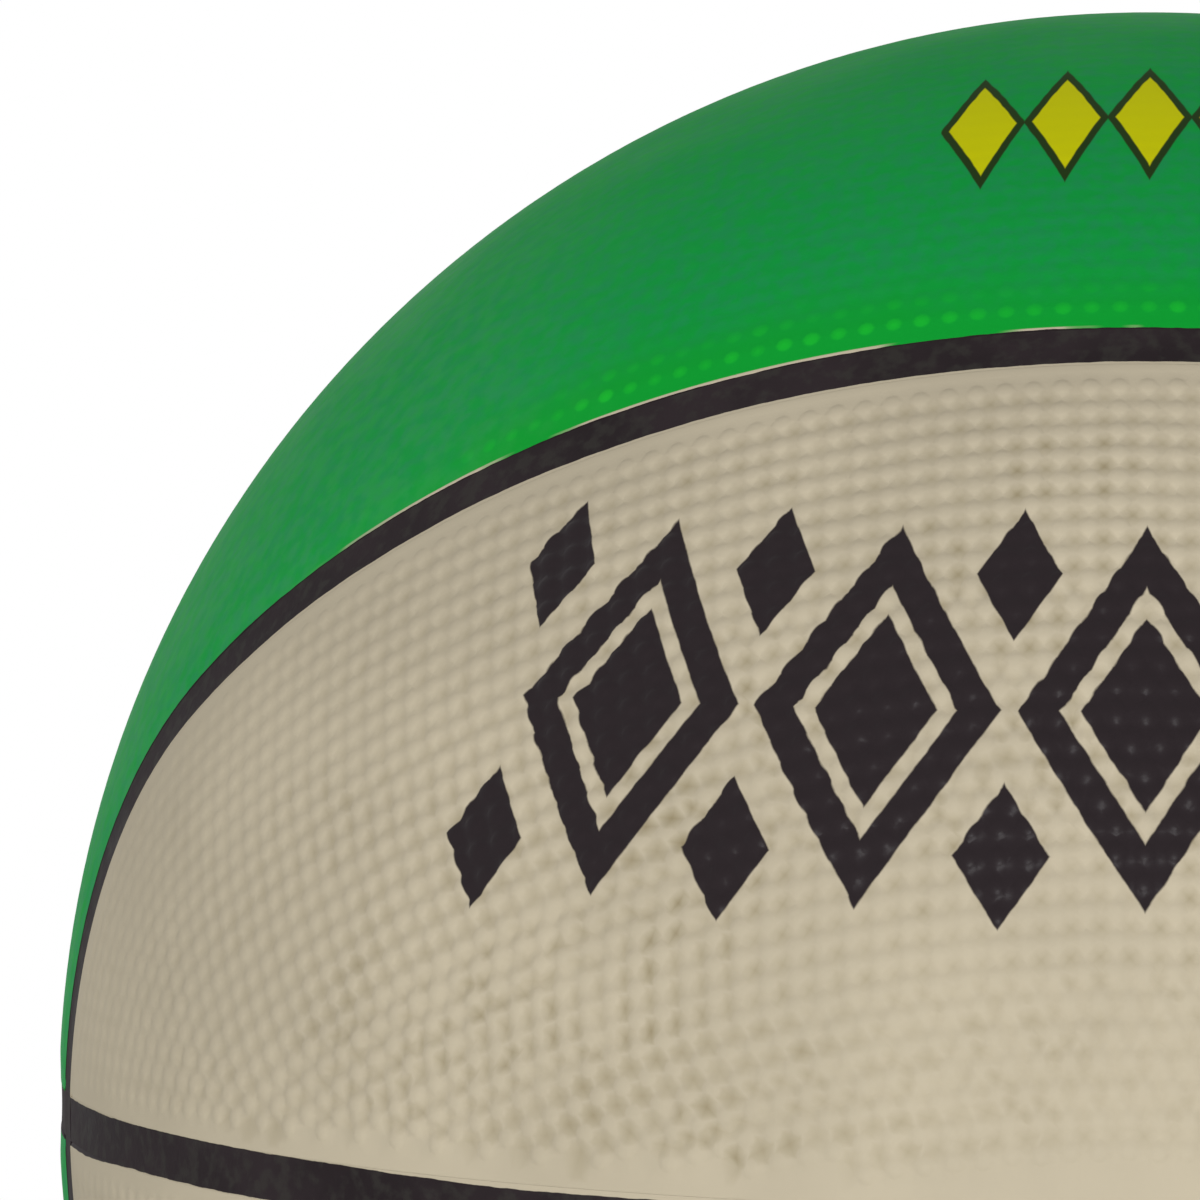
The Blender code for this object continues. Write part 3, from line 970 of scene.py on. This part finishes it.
# Large print on the front upper panel, as a row of lozenges with smaller ones above and below it
PRINT_LATITUDE = math.radians(24.5)
PRINT_PITCH = math.radians(14.0)
PRINT_COUNT = 5
PRINT_SIZE = (math.radians(13.0), math.radians(19.0))
PRINT_RING = (0.50, 0.66)  # inside and outside of the bare ring in a lozenge, as shares of its size
PRINT_SOFTNESS = 0.012
DOT_SHARE = 0.36  # size of a smaller lozenge beside that of a large one
DOT_RISE = 0.37  # how far it lies above or below the row, as a share of a large lozenge's height
DOT_STRAY = 2.0  # how much more of its size ink strays there
DOT_SOFTNESS = 0.03

# Small print on the top front band, as a row of lozenges, each with an outline
BADGE_TURN = math.radians(64.0)
BADGE_PITCH = 0.0064
BADGE_COUNT = 5
BADGE_SIZE = (0.0056, math.radians(11.0))
BADGE_OUTSIDE = 1.16
BADGE_INSIDE = 0.92
BADGE_SOFTNESS = 0.03

# How ink strays from a lozenge's outline
INK_STRAY = (0.0017, 0.02)  # length of its waves in metres, and their reach as a share of the lozenge
CROWN_STRAY = -0.02  # how ink reaches further on a pebble's crown, as such a share, outwards negative
FAR_OUTSIDE = 9.0  # what keeps a row of lozenges from going on past its ends

# How the edge of the seams' paint strays: the length of its waves in metres, their reach in millimetres
PAINT_STRAY = (0.016, 0.15)
PAINT_RAGGEDNESS = (0.0016, 0.08)
PAINT_SOFTNESS = 0.03

# Colours that no setting holds, and tones of those that settings hold
# Colour of the pits: partly dust, partly painted shade in the pits
PIT_SHADE_AND_DUST = (0.27, 0.22, 0.12)
# Painted highlights: a lighter green on the pebbles' crowns near the long seams
PAINTED_HIGHLIGHT_GREEN = (0.014, 0.57, 0.034)
# Painted sheen: a paler, greyer green towards the bands' sides, where they turn away from the front
PAINTED_SHEEN = (0.17, 0.43, 0.26)
BADGE_LINE = (0.020, 0.045, 0.010)
SCUFFED_BLACK = (0.047, 0.046, 0.039)
LATEX = (0.42, 0.38, 0.28)
THREAD = (0.66, 0.63, 0.54)
WHITE = (1.0, 1.0, 1.0)
CREAM_TONES = (0.96, 1.04)
GREEN_TONES = ((1.5, 0.94, 1.25), (0.8, 1.04, 0.82))
SEAM_TONES = (0.85, 1.35)
RUBBER_TONES = (0.8, 1.3)
# Bare rubber where paint is worn off, a tenth lighter than the cream as a painted highlight along the edge
BARE_HIGHLIGHT_TONE = 1.1
DARK_TONE = 0.6

# Random patterns: the size of their features in metres, and their detail
GREEN_CLOUDS = (0.012, 3.0)
SEAM_CLOUDS = (0.009, 4.0)
RUBBER_CLOUDS = (0.003, 3.0)
CREAM_GRAIN = (0.00025, 2.0)
GREEN_GRAIN = (0.00030, 2.0)
SEAM_GRAIN = (0.0005, 3.0)

# Patterns that go through a ramp: as above, then as in a ramp
CREAM_STAINS = (0.022, 3.0, 0.35, 0.65)
SHADE_AND_DUST_PATCHES = (0.009, 2.0, 0.35, 0.70, 0.22, 0.46)
GREEN_MOTTLE = (0.0013, 3.0, 0.34, 0.66)
# Mottle of the painted sheen
SHEEN_MOTTLE = (0.0020, 3.0, 0.36, 0.64, 0.4, 1.6)
WORN_STRETCHES = (0.014, 3.0, 0.42, 0.50)
SEAM_SCUFFS = (0.0014, 3.0, 0.44, 0.68, 0.0, 0.40)

# Ramps: the ends between which a value counts, and what it is eased from and to, if not from 0 to 1
# Amount of painted pit shade and dust: more towards the front and back, less again where the surface faces
# them squarely
SHADE_AND_DUST_FORWARD = (0.040, 0.078, 0.40, 2.00)  # by metres from the upright seam's plane
SHADE_AND_DUST_IN_MIDDLE = (0.0825, 0.0870, 1.0, 0.52)  # by the same
FADED_SIDES = (0.040, 0.075, 0.0, 8.0)  # millimetres that bright green draws in, by metres to the side
BRIGHT_EDGE = (6.0, 14.0)  # by millimetres from the long seam
# Where the painted highlights on the pebbles' crowns lie
CROWN_HIGHLIGHTS_BY_SEAM = (5.0, 10.5, 0.90, 0.06)  # by the same
HIGHLIGHTED_CROWN_HEIGHTS = (0.50, 1.0)  # by the relief
# Where the painted sheen lies
SHEEN_SIDES = (0.036, 0.058, 0.0, 0.06)  # by metres to the side
WORN_LATITUDES = (0.50, 0.62)  # by radians above the level seam
SEAM_CLOUDING = (0.35, 0.7)
RUBBER_CLOUDING = (0.3, 0.7)
INK_ROUGHNESS = (0.0, 1.0, 0.62, 0.32)
GREEN_ROUGHNESS = (0.3, 0.7, 0.51, 0.58)
SEAM_ROUGHNESS = (0.3, 0.7, 0.60, 0.72)

# Edges, grain, gloss and thread of the finishes, in metres where nothing else is said
BRIGHT_CLOUDING = 6.0  # millimetres by which clouds shift the edge of the brighter green
BARE_REACH = 2.12  # millimetres from the long seam's middle out to which paint is worn off in places
BARE_SOFTNESS = 0.06  # millimetres
PANEL_GRAIN_DEPTH = 0.00001
SEAM_GRAIN_DEPTH = 0.00003
RUBBER_GRAIN_DEPTH = 0.00002
GREEN_GLOSS = 0.012
SEAM_GLOSS = 0.045
PLAIN_GLOSS = 0.06
ROUGHNESS_SPREAD = 0.06
VALVE_FINISH = (0.45, 0.0004)  # roughness, and size of the grain
PLUG_FINISH = (0.38, 0.0003)
BUTYL_FINISH = (0.5, 0.0008)
THREAD_LAYERS = 3
THREAD_LAY = (0.9, 1.3, 0.5)  # turn of each layer of thread past the one before
THREAD_SCALE = 400.0
THREAD_WANDER = 1.5
THREAD_ROUGHNESS = 0.75
THREAD_DEPTH = 0.0002


def scaled(values, factors):
    """Values, such as those of a colour, times one factor or times one each."""
    return tuple(float(value) for value in np.multiply(values, factors))


class Nodes:
    """A tree in the making. Each method adds nodes to it, and most return an output to feed elsewhere."""

    def __init__(self, tree):
        self.tree = tree

    def feed(self, socket, value):
        """Link an output to a socket, or set the socket to a plain value."""
        if isinstance(value, bpy.types.NodeSocket):
            self.tree.links.new(value, socket)
        elif socket.type == "RGBA":
            socket.default_value = (*value, 1.0)
        else:
            socket.default_value = value

    def node(self, kind, **settings):
        """A new node with the given settings."""
        made = self.tree.nodes.new(kind)
        for key, value in settings.items():
            setattr(made, key, value)
        return made

    def math(self, operation, *values):
        """One operation on values or outputs."""
        made = self.node("ShaderNodeMath", operation=operation)
        for socket, value in zip(made.inputs, values):
            self.feed(socket, value)
        return made.outputs[0]

    def plus(self, first, second):
        return self.math("ADD", first, second)

    def minus(self, first, second):
        return self.math("SUBTRACT", first, second)

    def times(self, first, second):
        return self.math("MULTIPLY", first, second)

    def parts(self, vector):
        """The X, Y and Z of a vector."""
        apart = self.node("ShaderNodeSeparateXYZ")
        self.feed(apart.inputs[0], vector)
        return tuple(apart.outputs)

    def mix_shaders(self, share, first, second):
        """A finish between two, by the second one's share."""
        made = self.node("ShaderNodeMixShader")
        for socket, value in zip(made.inputs, (share, first, second)):
            self.feed(socket, value)
        return made.outputs[0]

    def shown_directly(self):
        """1 for what the camera sees, also in a mirror or through glass, else 0."""
        path = self.node("ShaderNodeLightPath")
        total = path.outputs["Is Camera Ray"]
        for ray in ("Is Glossy Ray", "Is Transmission Ray"):
            total = self.math("MAXIMUM", total, path.outputs[ray])
        return total


class Shading(Nodes):
    """A material in the making."""

    def __init__(self, name):
        self.material = bpy.data.materials.new(name)
        self.material.use_nodes = True
        super().__init__(self.material.node_tree)
        self.shader = self.tree.nodes["Principled BSDF"]

    def attribute(self, name):
        """The number that a mesh holds for the spot shaded."""
        return self.node("ShaderNodeAttribute", attribute_name=name).outputs["Fac"]

    def place(self):
        """The spot shaded, in metres from its object's origin."""
        return self.node("ShaderNodeTexCoord").outputs["Object"]

    def from_middle(self, axis):
        """Distance along X, Y or Z, as axis 0, 1 or 2, of the spot shaded from the ball's middle."""
        return self.math("ABSOLUTE", self.parts(self.place())[axis])

    def noise(self, size, detail):
        """Soft random values from 0 to 1, with features about size long, in metres."""
        made = self.node("ShaderNodeTexNoise")
        self.feed(made.inputs["Vector"], self.place())
        made.inputs["Scale"].default_value = 1 / size
        made.inputs["Detail"].default_value = detail
        return made.outputs["Fac"]

    def ramp(self, value, low, high, start=0.0, end=1.0):
        """value eased from start, at low and below, to end, at high and above."""
        made = self.node("ShaderNodeMapRange", interpolation_type="SMOOTHSTEP")
        for key, given in (
            ("Value", value),
            ("From Min", low),
            ("From Max", high),
            ("To Min", start),
            ("To Max", end),
        ):
            self.feed(made.inputs[key], given)
        return made.outputs["Result"]

    def patches(self, size, detail, *ends):
        """Random values that go through a ramp."""
        return self.ramp(self.noise(size, detail), *ends)

    def waver(self, size, reach):
        """Soft random values from -reach to reach."""
        return self.math("MULTIPLY_ADD", self.noise(size, 2.0), 2 * reach, -reach)

    def within(self, value, limit, softness):
        """1 where a value is under a limit, else 0, with a soft edge."""
        return self.ramp(value, limit - softness, limit + softness, 1.0, 0.0)

    def mix(self, share, first, second):
        """A colour between two, by the second one's share."""
        made = self.node("ShaderNodeMix", data_type="RGBA")
        self.feed(made.inputs[0], share)
        self.feed(made.inputs[6], first)
        self.feed(made.inputs[7], second)
        return made.outputs[2]

    def toned(self, share, colour, low, high):
        """A colour between two tones of it."""
        return self.mix(share, scaled(colour, low), scaled(colour, high))

    def turns(self):
        """Angles of the spot shaded: to the right of the ball's front, and up from the level seam."""
        right, back, up = self.parts(self.place())
        front = self.times(back, -1.0)
        out = self.math("SQRT", self.plus(self.times(right, right), self.times(back, back)))
        return self.math("ARCTAN2", right, front), self.math("ARCTAN2", up, out)

    def lozenges(self, along, across, pitch, count, size):
        """A row of lozenges: 0 in the middle of each, 1 on its outline and more beyond it."""
        place = self.math("DIVIDE", along, pitch)
        place = self.plus(place, 0.5 * (count % 2 == 0))
        aside = self.minus(place, self.math("ROUND", place))
        wide = self.times(self.math("ABSOLUTE", aside), 2 * pitch / size[0])
        high = self.times(self.math("ABSOLUTE", across), 2 / size[1])
        past = self.math("GREATER_THAN", self.math("ABSOLUTE", along), pitch * count / 2)
        return self.plus(self.plus(wide, high), self.times(past, FAR_OUTSIDE))

    def seam_black(self):
        """Share of the seams' black paint, whose edge strays and is a little ragged."""
        stray = self.plus(self.waver(*PAINT_STRAY), self.waver(*PAINT_RAGGEDNESS))
        return self.within(self.minus(self.attribute("past_paint"), stray), 0.0, PAINT_SOFTNESS)

    def bump(self, height, depth):
        """Shade the surface as if it rose and fell by a depth."""
        made = self.node("ShaderNodeBump")
        self.feed(made.inputs["Height"], height)
        made.inputs["Distance"].default_value = depth
        self.feed(self.shader.inputs["Normal"], made.outputs["Normal"])

    def surface(self, colour, roughness, gloss=PLAIN_GLOSS):
        """Set the surface's colour, roughness and gloss."""
        self.feed(self.shader.inputs["Base Color"], colour)
        self.feed(self.shader.inputs["Roughness"], roughness)
        self.shader.inputs["Specular IOR Level"].default_value = gloss


def ink_waver(look, relief):
    """How far ink strays from the outline that it is printed along, on and between the pebbles."""
    return look.math("MULTIPLY_ADD", relief, CROWN_STRAY, look.waver(*INK_STRAY))


def large_print(look, relief):
    """Share of ink in the rows of lozenges on the front upper panel."""
    right, up = look.turns()
    above = look.minus(up, PRINT_LATITUDE)
    waver = ink_waver(look, relief)
    row = look.lozenges(right, above, PRINT_PITCH, PRINT_COUNT, PRINT_SIZE)
    row = look.plus(row, waver)
    inside, outside, whole = (look.within(row, limit, PRINT_SOFTNESS) for limit in (*PRINT_RING, 1.0))
    ink = look.minus(whole, look.minus(outside, inside))
    beside = look.minus(look.math("ABSOLUTE", above), PRINT_SIZE[1] * DOT_RISE)
    dots = look.lozenges(right, beside, PRINT_PITCH, PRINT_COUNT + 1, scaled(PRINT_SIZE, DOT_SHARE))
    dots = look.plus(dots, look.times(waver, DOT_STRAY))
    return look.math("MAXIMUM", ink, look.within(dots, 1.0, DOT_SOFTNESS))


def cream_rubber(finish):
    """Bare cream rubber with faint stains, dust and painted shade in its pits, black ink, and black paint
    at its seams.
    """
    look = Shading("cream_rubber")
    relief = look.attribute("relief")
    colour = look.toned(look.patches(*CREAM_STAINS), finish.cream, *CREAM_TONES)
    # Dust and painted shade in the pits, more towards the front and back, less where the surface faces them
    # squarely
    shade_and_dust = look.times(look.attribute("shade_and_dust"), look.patches(*SHADE_AND_DUST_PATCHES))
    forward = look.from_middle(1)
    for ends in (SHADE_AND_DUST_FORWARD, SHADE_AND_DUST_IN_MIDDLE):
        shade_and_dust = look.times(shade_and_dust, look.ramp(forward, *ends))
    colour = look.mix(shade_and_dust, colour, PIT_SHADE_AND_DUST)
    ink = large_print(look, relief)
    colour = look.mix(look.math("MAXIMUM", look.seam_black(), ink), colour, tuple(finish.black))
    look.surface(colour, look.ramp(ink, *INK_ROUGHNESS))
    look.bump(look.noise(*CREAM_GRAIN), PANEL_GRAIN_DEPTH)
    return look.material


def small_print(look, relief):
    """Distance from the middles of the small lozenges on the top front band, 1 on their outlines."""
    right, back, up = look.parts(look.place())
    turn = look.math("ARCTAN2", up, look.times(back, -1.0))
    row = look.lozenges(right, look.minus(turn, BADGE_TURN), BADGE_PITCH, BADGE_COUNT, BADGE_SIZE)
    return look.plus(row, ink_waver(look, relief))


def green_paint(finish):
    """Green paint on rubber, brighter beside the long seams, with painted highlights on the pebbles' crowns
    there, a painted sheen towards the bands' sides, and the small print.
    """
    look = Shading("green_paint")
    relief = look.attribute("relief")
    long_gap = look.attribute("long_gap")
    aside = look.from_middle(0)
    cloud = look.noise(*GREEN_CLOUDS)
    near = look.plus(long_gap, look.times(cloud, BRIGHT_CLOUDING))
    near = look.plus(near, look.ramp(aside, *FADED_SIDES))
    green = look.toned(look.patches(*GREEN_MOTTLE), finish.green, *GREEN_TONES)
    colour = look.mix(look.ramp(near, *BRIGHT_EDGE), tuple(finish.bright_green), green)
    # Painted highlights on the pebbles' crowns near the long seams
    crowns = look.times(look.ramp(relief, *HIGHLIGHTED_CROWN_HEIGHTS), look.ramp(near, *CROWN_HIGHLIGHTS_BY_SEAM))
    colour = look.mix(crowns, colour, PAINTED_HIGHLIGHT_GREEN)
    # Painted sheen, paler and greyer towards the sides of the bands
    painted_sheen = look.times(look.ramp(aside, *SHEEN_SIDES), look.patches(*SHEEN_MOTTLE))
    colour = look.mix(painted_sheen, colour, PAINTED_SHEEN)
    badge = small_print(look, relief)
    colour = look.mix(look.within(badge, BADGE_OUTSIDE, BADGE_SOFTNESS), colour, BADGE_LINE)
    colour = look.mix(look.within(badge, BADGE_INSIDE, BADGE_SOFTNESS), colour, tuple(finish.yellow))
    worn = look.times(look.patches(*WORN_STRETCHES), look.ramp(look.turns()[1], *WORN_LATITUDES))
    bare = look.times(worn, look.within(long_gap, BARE_REACH, BARE_SOFTNESS))
    # Worn-off paint shows the rubber, lightened as a painted highlight along the seam's edge
    colour = look.mix(bare, colour, scaled(finish.cream, BARE_HIGHLIGHT_TONE))
    colour = look.mix(look.seam_black(), colour, tuple(finish.black))
    look.surface(colour, look.ramp(cloud, *GREEN_ROUGHNESS), GREEN_GLOSS)
    look.bump(look.noise(*GREEN_GRAIN), PANEL_GRAIN_DEPTH)
    return look.material


class BALL_OT_cream_panels(bpy.types.Operator):
    """Add the four cream panels between the long seams"""

    bl_idname = "ball.cream_panels"
    bl_label = "Cream panels"

    def execute(self, context):
        scene = context.scene
        material = cream_rubber(scene.ball_finish)
        pebbles = scene.ball_pebbles
        form = (pebbles, pebbles.height, BARE_DOME, 0.0)
        plain = panel_solid([centre_loop], centre_margin, INSIDE, *form, seed=1)
        holed = panel_solid([centre_loop, valve_loop], valve_panel_margin, INSIDE, *form, seed=2)
        for name, solid, sides in (
            ("front_upper_panel", plain, (1, 1, 1)),
            ("front_lower_panel", plain, (1, 1, -1)),
            ("back_upper_panel", holed, (1, -1, 1)),
            ("back_lower_panel", plain, (1, -1, -1)),
        ):
            add_cover("pebbled", name, solid, sides, material)
        return {"FINISHED"}


class BALL_OT_green_bands(bpy.types.Operator):
    """Add the four green bands between the long seams and the upright seam"""

    bl_idname = "ball.green_bands"
    bl_label = "Green bands"

    def execute(self, context):
        scene = context.scene
        material = green_paint(scene.ball_finish)
        pebbles = scene.ball_pebbles
        form = (pebbles, pebbles.painted_height, PAINTED_DOME, pebbles.painted_fall)
        solid = panel_solid([band_loop], band_margin, OUTSIDE, *form, seed=3)
        for name, sides in (
            ("top_front_band", (1, 1, 1)),
            ("bottom_front_band", (1, 1, -1)),
            ("top_back_band", (1, -1, 1)),
            ("bottom_back_band", (1, -1, -1)),
        ):
            add_cover("pebbled", name, solid, sides, material)
        return {"FINISHED"}


def seam_paint(finish):
    """Brushed black paint along the seams, a little worn, with the bare edge of each strip beside it."""
    look = Shading("seam_paint")
    cloud = look.noise(*SEAM_CLOUDS)
    black = look.toned(look.ramp(cloud, *SEAM_CLOUDING), finish.black, *SEAM_TONES)
    black = look.mix(look.patches(*SEAM_SCUFFS), black, SCUFFED_BLACK)
    green = look.math("GREATER_THAN", look.attribute("long_gap"), 0.0)
    beside = look.mix(green, tuple(finish.cream), tuple(finish.bright_green))
    colour = look.mix(look.seam_black(), beside, black)
    look.surface(colour, look.ramp(cloud, *SEAM_ROUGHNESS), SEAM_GLOSS)
    look.bump(look.noise(*SEAM_GRAIN), SEAM_GRAIN_DEPTH)
    return look.material


def moulded_rubber(name, colour, roughness, grain):
    """Plain moulded rubber with a fine grain."""
    look = Shading(name)
    cloud = look.ramp(look.noise(*RUBBER_CLOUDS), *RUBBER_CLOUDING)
    spread = look.math("MULTIPLY_ADD", cloud, 2 * ROUGHNESS_SPREAD, roughness - ROUGHNESS_SPREAD)
    look.surface(look.toned(cloud, colour, *RUBBER_TONES), spread)
    look.bump(look.noise(grain, 2.0), RUBBER_GRAIN_DEPTH)
    return look.material


def wound_thread():
    """Nylon thread wound every way round the carcass and set in latex."""
    look = Shading("wound_thread")
    weave = 0.0
    for layer in range(THREAD_LAYERS):
        spun = look.node("ShaderNodeMapping")
        look.feed(spun.inputs["Vector"], look.place())
        spun.inputs["Rotation"].default_value = scaled(THREAD_LAY, layer)
        wave = look.node("ShaderNodeTexWave")
        look.feed(wave.inputs["Vector"], spun.outputs["Vector"])
        wave.inputs["Scale"].default_value = THREAD_SCALE
        wave.inputs["Distortion"].default_value = THREAD_WANDER
        weave = look.math("MAXIMUM", weave, wave.outputs["Fac"])
    look.surface(look.mix(weave, LATEX, THREAD), THREAD_ROUGHNESS)
    look.bump(weave, THREAD_DEPTH)
    return look.material


class BALL_OT_seam_strips(bpy.types.Operator):
    """Add the black strips that fill the seams between the panels"""

    bl_idname = "ball.seam_strips"
    bl_label = "Seam strips"

    def execute(self, context):
        seams = context.scene.ball_seams
        material = seam_paint(context.scene.ball_finish)
        upright = strip_solid(upright_line, True, seams)
        long_loop = strip_solid(long_line, True, seams)
        level = strip_solid(level_line, False, seams)
        short = strip_solid(short_level_line, False, seams)
        strips = [("upright_seam", upright, (1, 1, 1))]
        for place, depth in (("front", 1), ("back", -1)):
            strips.append((f"{place}_long_seam", long_loop, (1, depth, 1)))
            strips.append((f"{place}_level_seam", level, (1, depth, 1)))
            strips.append((f"{place}_left_level_seam", short, (1, depth, 1)))
            strips.append((f"{place}_right_level_seam", short, (-1, depth, 1)))
        for name, solid, sides in strips:
            add_cover("painted", name, solid, sides, material)
        return {"FINISHED"}


class BALL_OT_valve(bpy.types.Operator):
    """Add the valve's housing and the plug that pulls out of it"""

    bl_idname = "ball.valve"
    bl_label = "Valve"

    def execute(self, context):
        black = context.scene.ball_finish.black
        housing = turned("moulded_valve_housing", rounded(housing_profile(), True), True)
        rubber = moulded_rubber("valve_rubber", black, *VALVE_FINISH)
        dress(housing, rubber, "ball", "valve_housing")
        plug = turned("moulded_valve_plug", rounded(plug_profile(), False), False)
        rubber = moulded_rubber("plug_rubber", scaled(black, DARK_TONE), *PLUG_FINISH)
        dress(plug, rubber, "plug", "valve_plug")
        return {"FINISHED"}


class BALL_OT_inner_layers(bpy.types.Operator):
    """Finish the wound carcass and the bladder under the cover"""

    bl_idname = "ball.inner_layers"
    bl_label = "Inner layers"

    def execute(self, context):
        butyl = scaled(context.scene.ball_finish.black, DARK_TONE)
        for name, material in (
            ("wound_carcass", wound_thread()),
            ("bladder", moulded_rubber("butyl_rubber", butyl, *BUTYL_FINISH)),
        ):
            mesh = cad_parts[name].data
            mesh.materials.clear()
            mesh.materials.append(material)
        return {"FINISHED"}


class BALL_OT_stage(bpy.types.Operator):
    """Add the floor, the lamps, the white surroundings and the camera"""

    bl_idname = "ball.stage"
    bl_label = "Stage"

    def execute(self, context):
        scene = context.scene
        scene.view_settings.view_transform = "Standard"
        set_surroundings(scene)
        add_floor(scene.ball_stage)
        add_lamps(scene.ball_stage)
        scene.camera = add_camera(scene.ball_stage)
        return {"FINISHED"}


def set_surroundings(scene):
    """White where it shows, and a soft light on the ball that is strongest from the horizon."""
    world = bpy.data.worlds.new("surroundings")
    world.use_nodes = True
    world.node_tree.nodes.clear()
    nodes = Nodes(world.node_tree)
    up = nodes.parts(nodes.node("ShaderNodeTexCoord").outputs["Generated"])[2]
    sky = scene.ball_stage.sky
    light = nodes.node("ShaderNodeBackground")
    nodes.feed(light.inputs["Strength"], nodes.math("MULTIPLY_ADD", nodes.times(up, up), -sky, sky))
    white = nodes.node("ShaderNodeBackground")
    for background in (light, white):
        nodes.feed(background.inputs["Color"], WHITE)
    seen = nodes.mix_shaders(nodes.shown_directly(), light.outputs[0], white.outputs[0])
    nodes.feed(nodes.node("ShaderNodeOutputWorld").inputs["Surface"], seen)
    scene.world = world


FLOOR_RADIUS = 0.60
FLOOR_SIDES = 128
FLOOR_ROUGHNESS = 0.9
FLOOR_CLEAR_RADIUS = 0.15  # inside it the floor is plain, and from there it fades to white
FLOOR_PALENESS = 0.35  # share of white that the camera sees in the plain part


def add_floor(stage):
    """A pale round floor that fades to white, and is clear from below, where the ball's underside shows."""
    shape = bmesh.new()
    bmesh.ops.create_circle(shape, cap_ends=True, segments=FLOOR_SIDES, radius=FLOOR_RADIUS)
    mesh = bpy.data.meshes.new("floor")
    shape.to_mesh(mesh)
    shape.free()
    look = Shading("pale_floor")
    look.surface(tuple(stage.floor), FLOOR_ROUGHNESS)
    white = look.node("ShaderNodeEmission")
    away = look.node("ShaderNodeVectorMath", operation="LENGTH")
    look.feed(away.inputs[0], look.place())
    fade = look.ramp(away.outputs["Value"], FLOOR_CLEAR_RADIUS, FLOOR_RADIUS, FLOOR_PALENESS, 1.0)
    share = look.times(fade, look.shown_directly())
    pale = look.mix_shaders(share, look.shader.outputs[0], white.outputs[0])
    below = look.node("ShaderNodeNewGeometry").outputs["Backfacing"]
    clear = look.node("ShaderNodeBsdfTransparent")
    seen = look.mix_shaders(below, pale, clear.outputs[0])
    look.feed(look.tree.nodes["Material Output"].inputs["Surface"], seen)
    mesh.materials.append(look.material)
    floor = placed("floor", mesh)
    floor.location.z = -BALL_RADIUS


SENSOR_WIDTH = 36.0  # millimetres
LAMP_PLACE = (-0.04, -0.95, 0.05)
LAMP_SIZE = 0.26


def add_camera(stage):
    """The camera, placed and aimed by its settings."""
    data = bpy.data.cameras.new("camera")
    data.lens = stage.lens
    data.sensor_width = SENSOR_WIDTH
    camera = placed("camera", data)
    out = stage.distance * math.cos(stage.elevation)
    place = Matrix.Translation((0.0, -out, stage.distance * math.sin(stage.elevation)))
    upright = Matrix.Rotation(stage.turn, 4, "Z") @ Matrix.Rotation(math.pi / 2 - stage.dip, 4, "X")
    camera.matrix_world = place @ upright @ Matrix.Rotation(stage.roll, 4, "Z")
    return camera


def add_lamps(stage):
    """Two lamps alike, one before the ball and one behind it."""
    for name, side in (("front_lamp", 1), ("back_lamp", -1)):
        data = bpy.data.lights.new(name, "AREA")
        data.energy = stage.key
        data.shape = "DISK"
        data.size = LAMP_SIZE
        lamp = placed(name, data)
        lamp.location = mirrored(LAMP_PLACE, (side, side, 1))
        lamp.rotation_mode = "QUATERNION"
        lamp.rotation_quaternion = (-lamp.location).to_track_quat("-Z", "Y")
        lamp.visible_camera = False


class BALL_PT_pieces(bpy.types.Panel):
    """The pieces that the ball is dressed with"""

    bl_label = "Mini basketball"
    bl_idname = "BALL_PT_pieces"
    bl_space_type = "VIEW_3D"
    bl_region_type = "UI"
    bl_category = "Ball"

    def draw(self, context):
        for operator in OPERATORS:
            self.layout.operator(operator.bl_idname)
        for group in SETTINGS:
            settings = getattr(context.scene, group)
            column = self.layout.column(heading=group)
            for key in settings.__annotations__:
                column.prop(settings, key)


SETTINGS = {
    "ball_pebbles": PebbleSettings,
    "ball_seams": SeamSettings,
    "ball_finish": FinishSettings,
    "ball_stage": StageSettings,
}
OPERATORS = (
    BALL_OT_cream_panels,
    BALL_OT_green_bands,
    BALL_OT_seam_strips,
    BALL_OT_valve,
    BALL_OT_inner_layers,
    BALL_OT_stage,
)


def register():
    """Make the settings, operators and panel known to Blender."""
    for group in (*SETTINGS.values(), *OPERATORS, BALL_PT_pieces):
        bpy.utils.register_class(group)
    for name, group in SETTINGS.items():
        setattr(bpy.types.Scene, name, PointerProperty(type=group))


def unregister():
    """Take back what register did."""
    for name in SETTINGS:
        delattr(bpy.types.Scene, name)
    for group in (BALL_PT_pieces, *OPERATORS, *SETTINGS.values()):
        bpy.utils.unregister_class(group)


def main():
    """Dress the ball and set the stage."""
    register()
    bpy.ops.ball.cream_panels()
    bpy.ops.ball.green_bands()
    bpy.ops.ball.seam_strips()
    bpy.ops.ball.valve()
    bpy.ops.ball.inner_layers()
    bpy.ops.ball.stage()


if __name__ == "__main__":
    main()
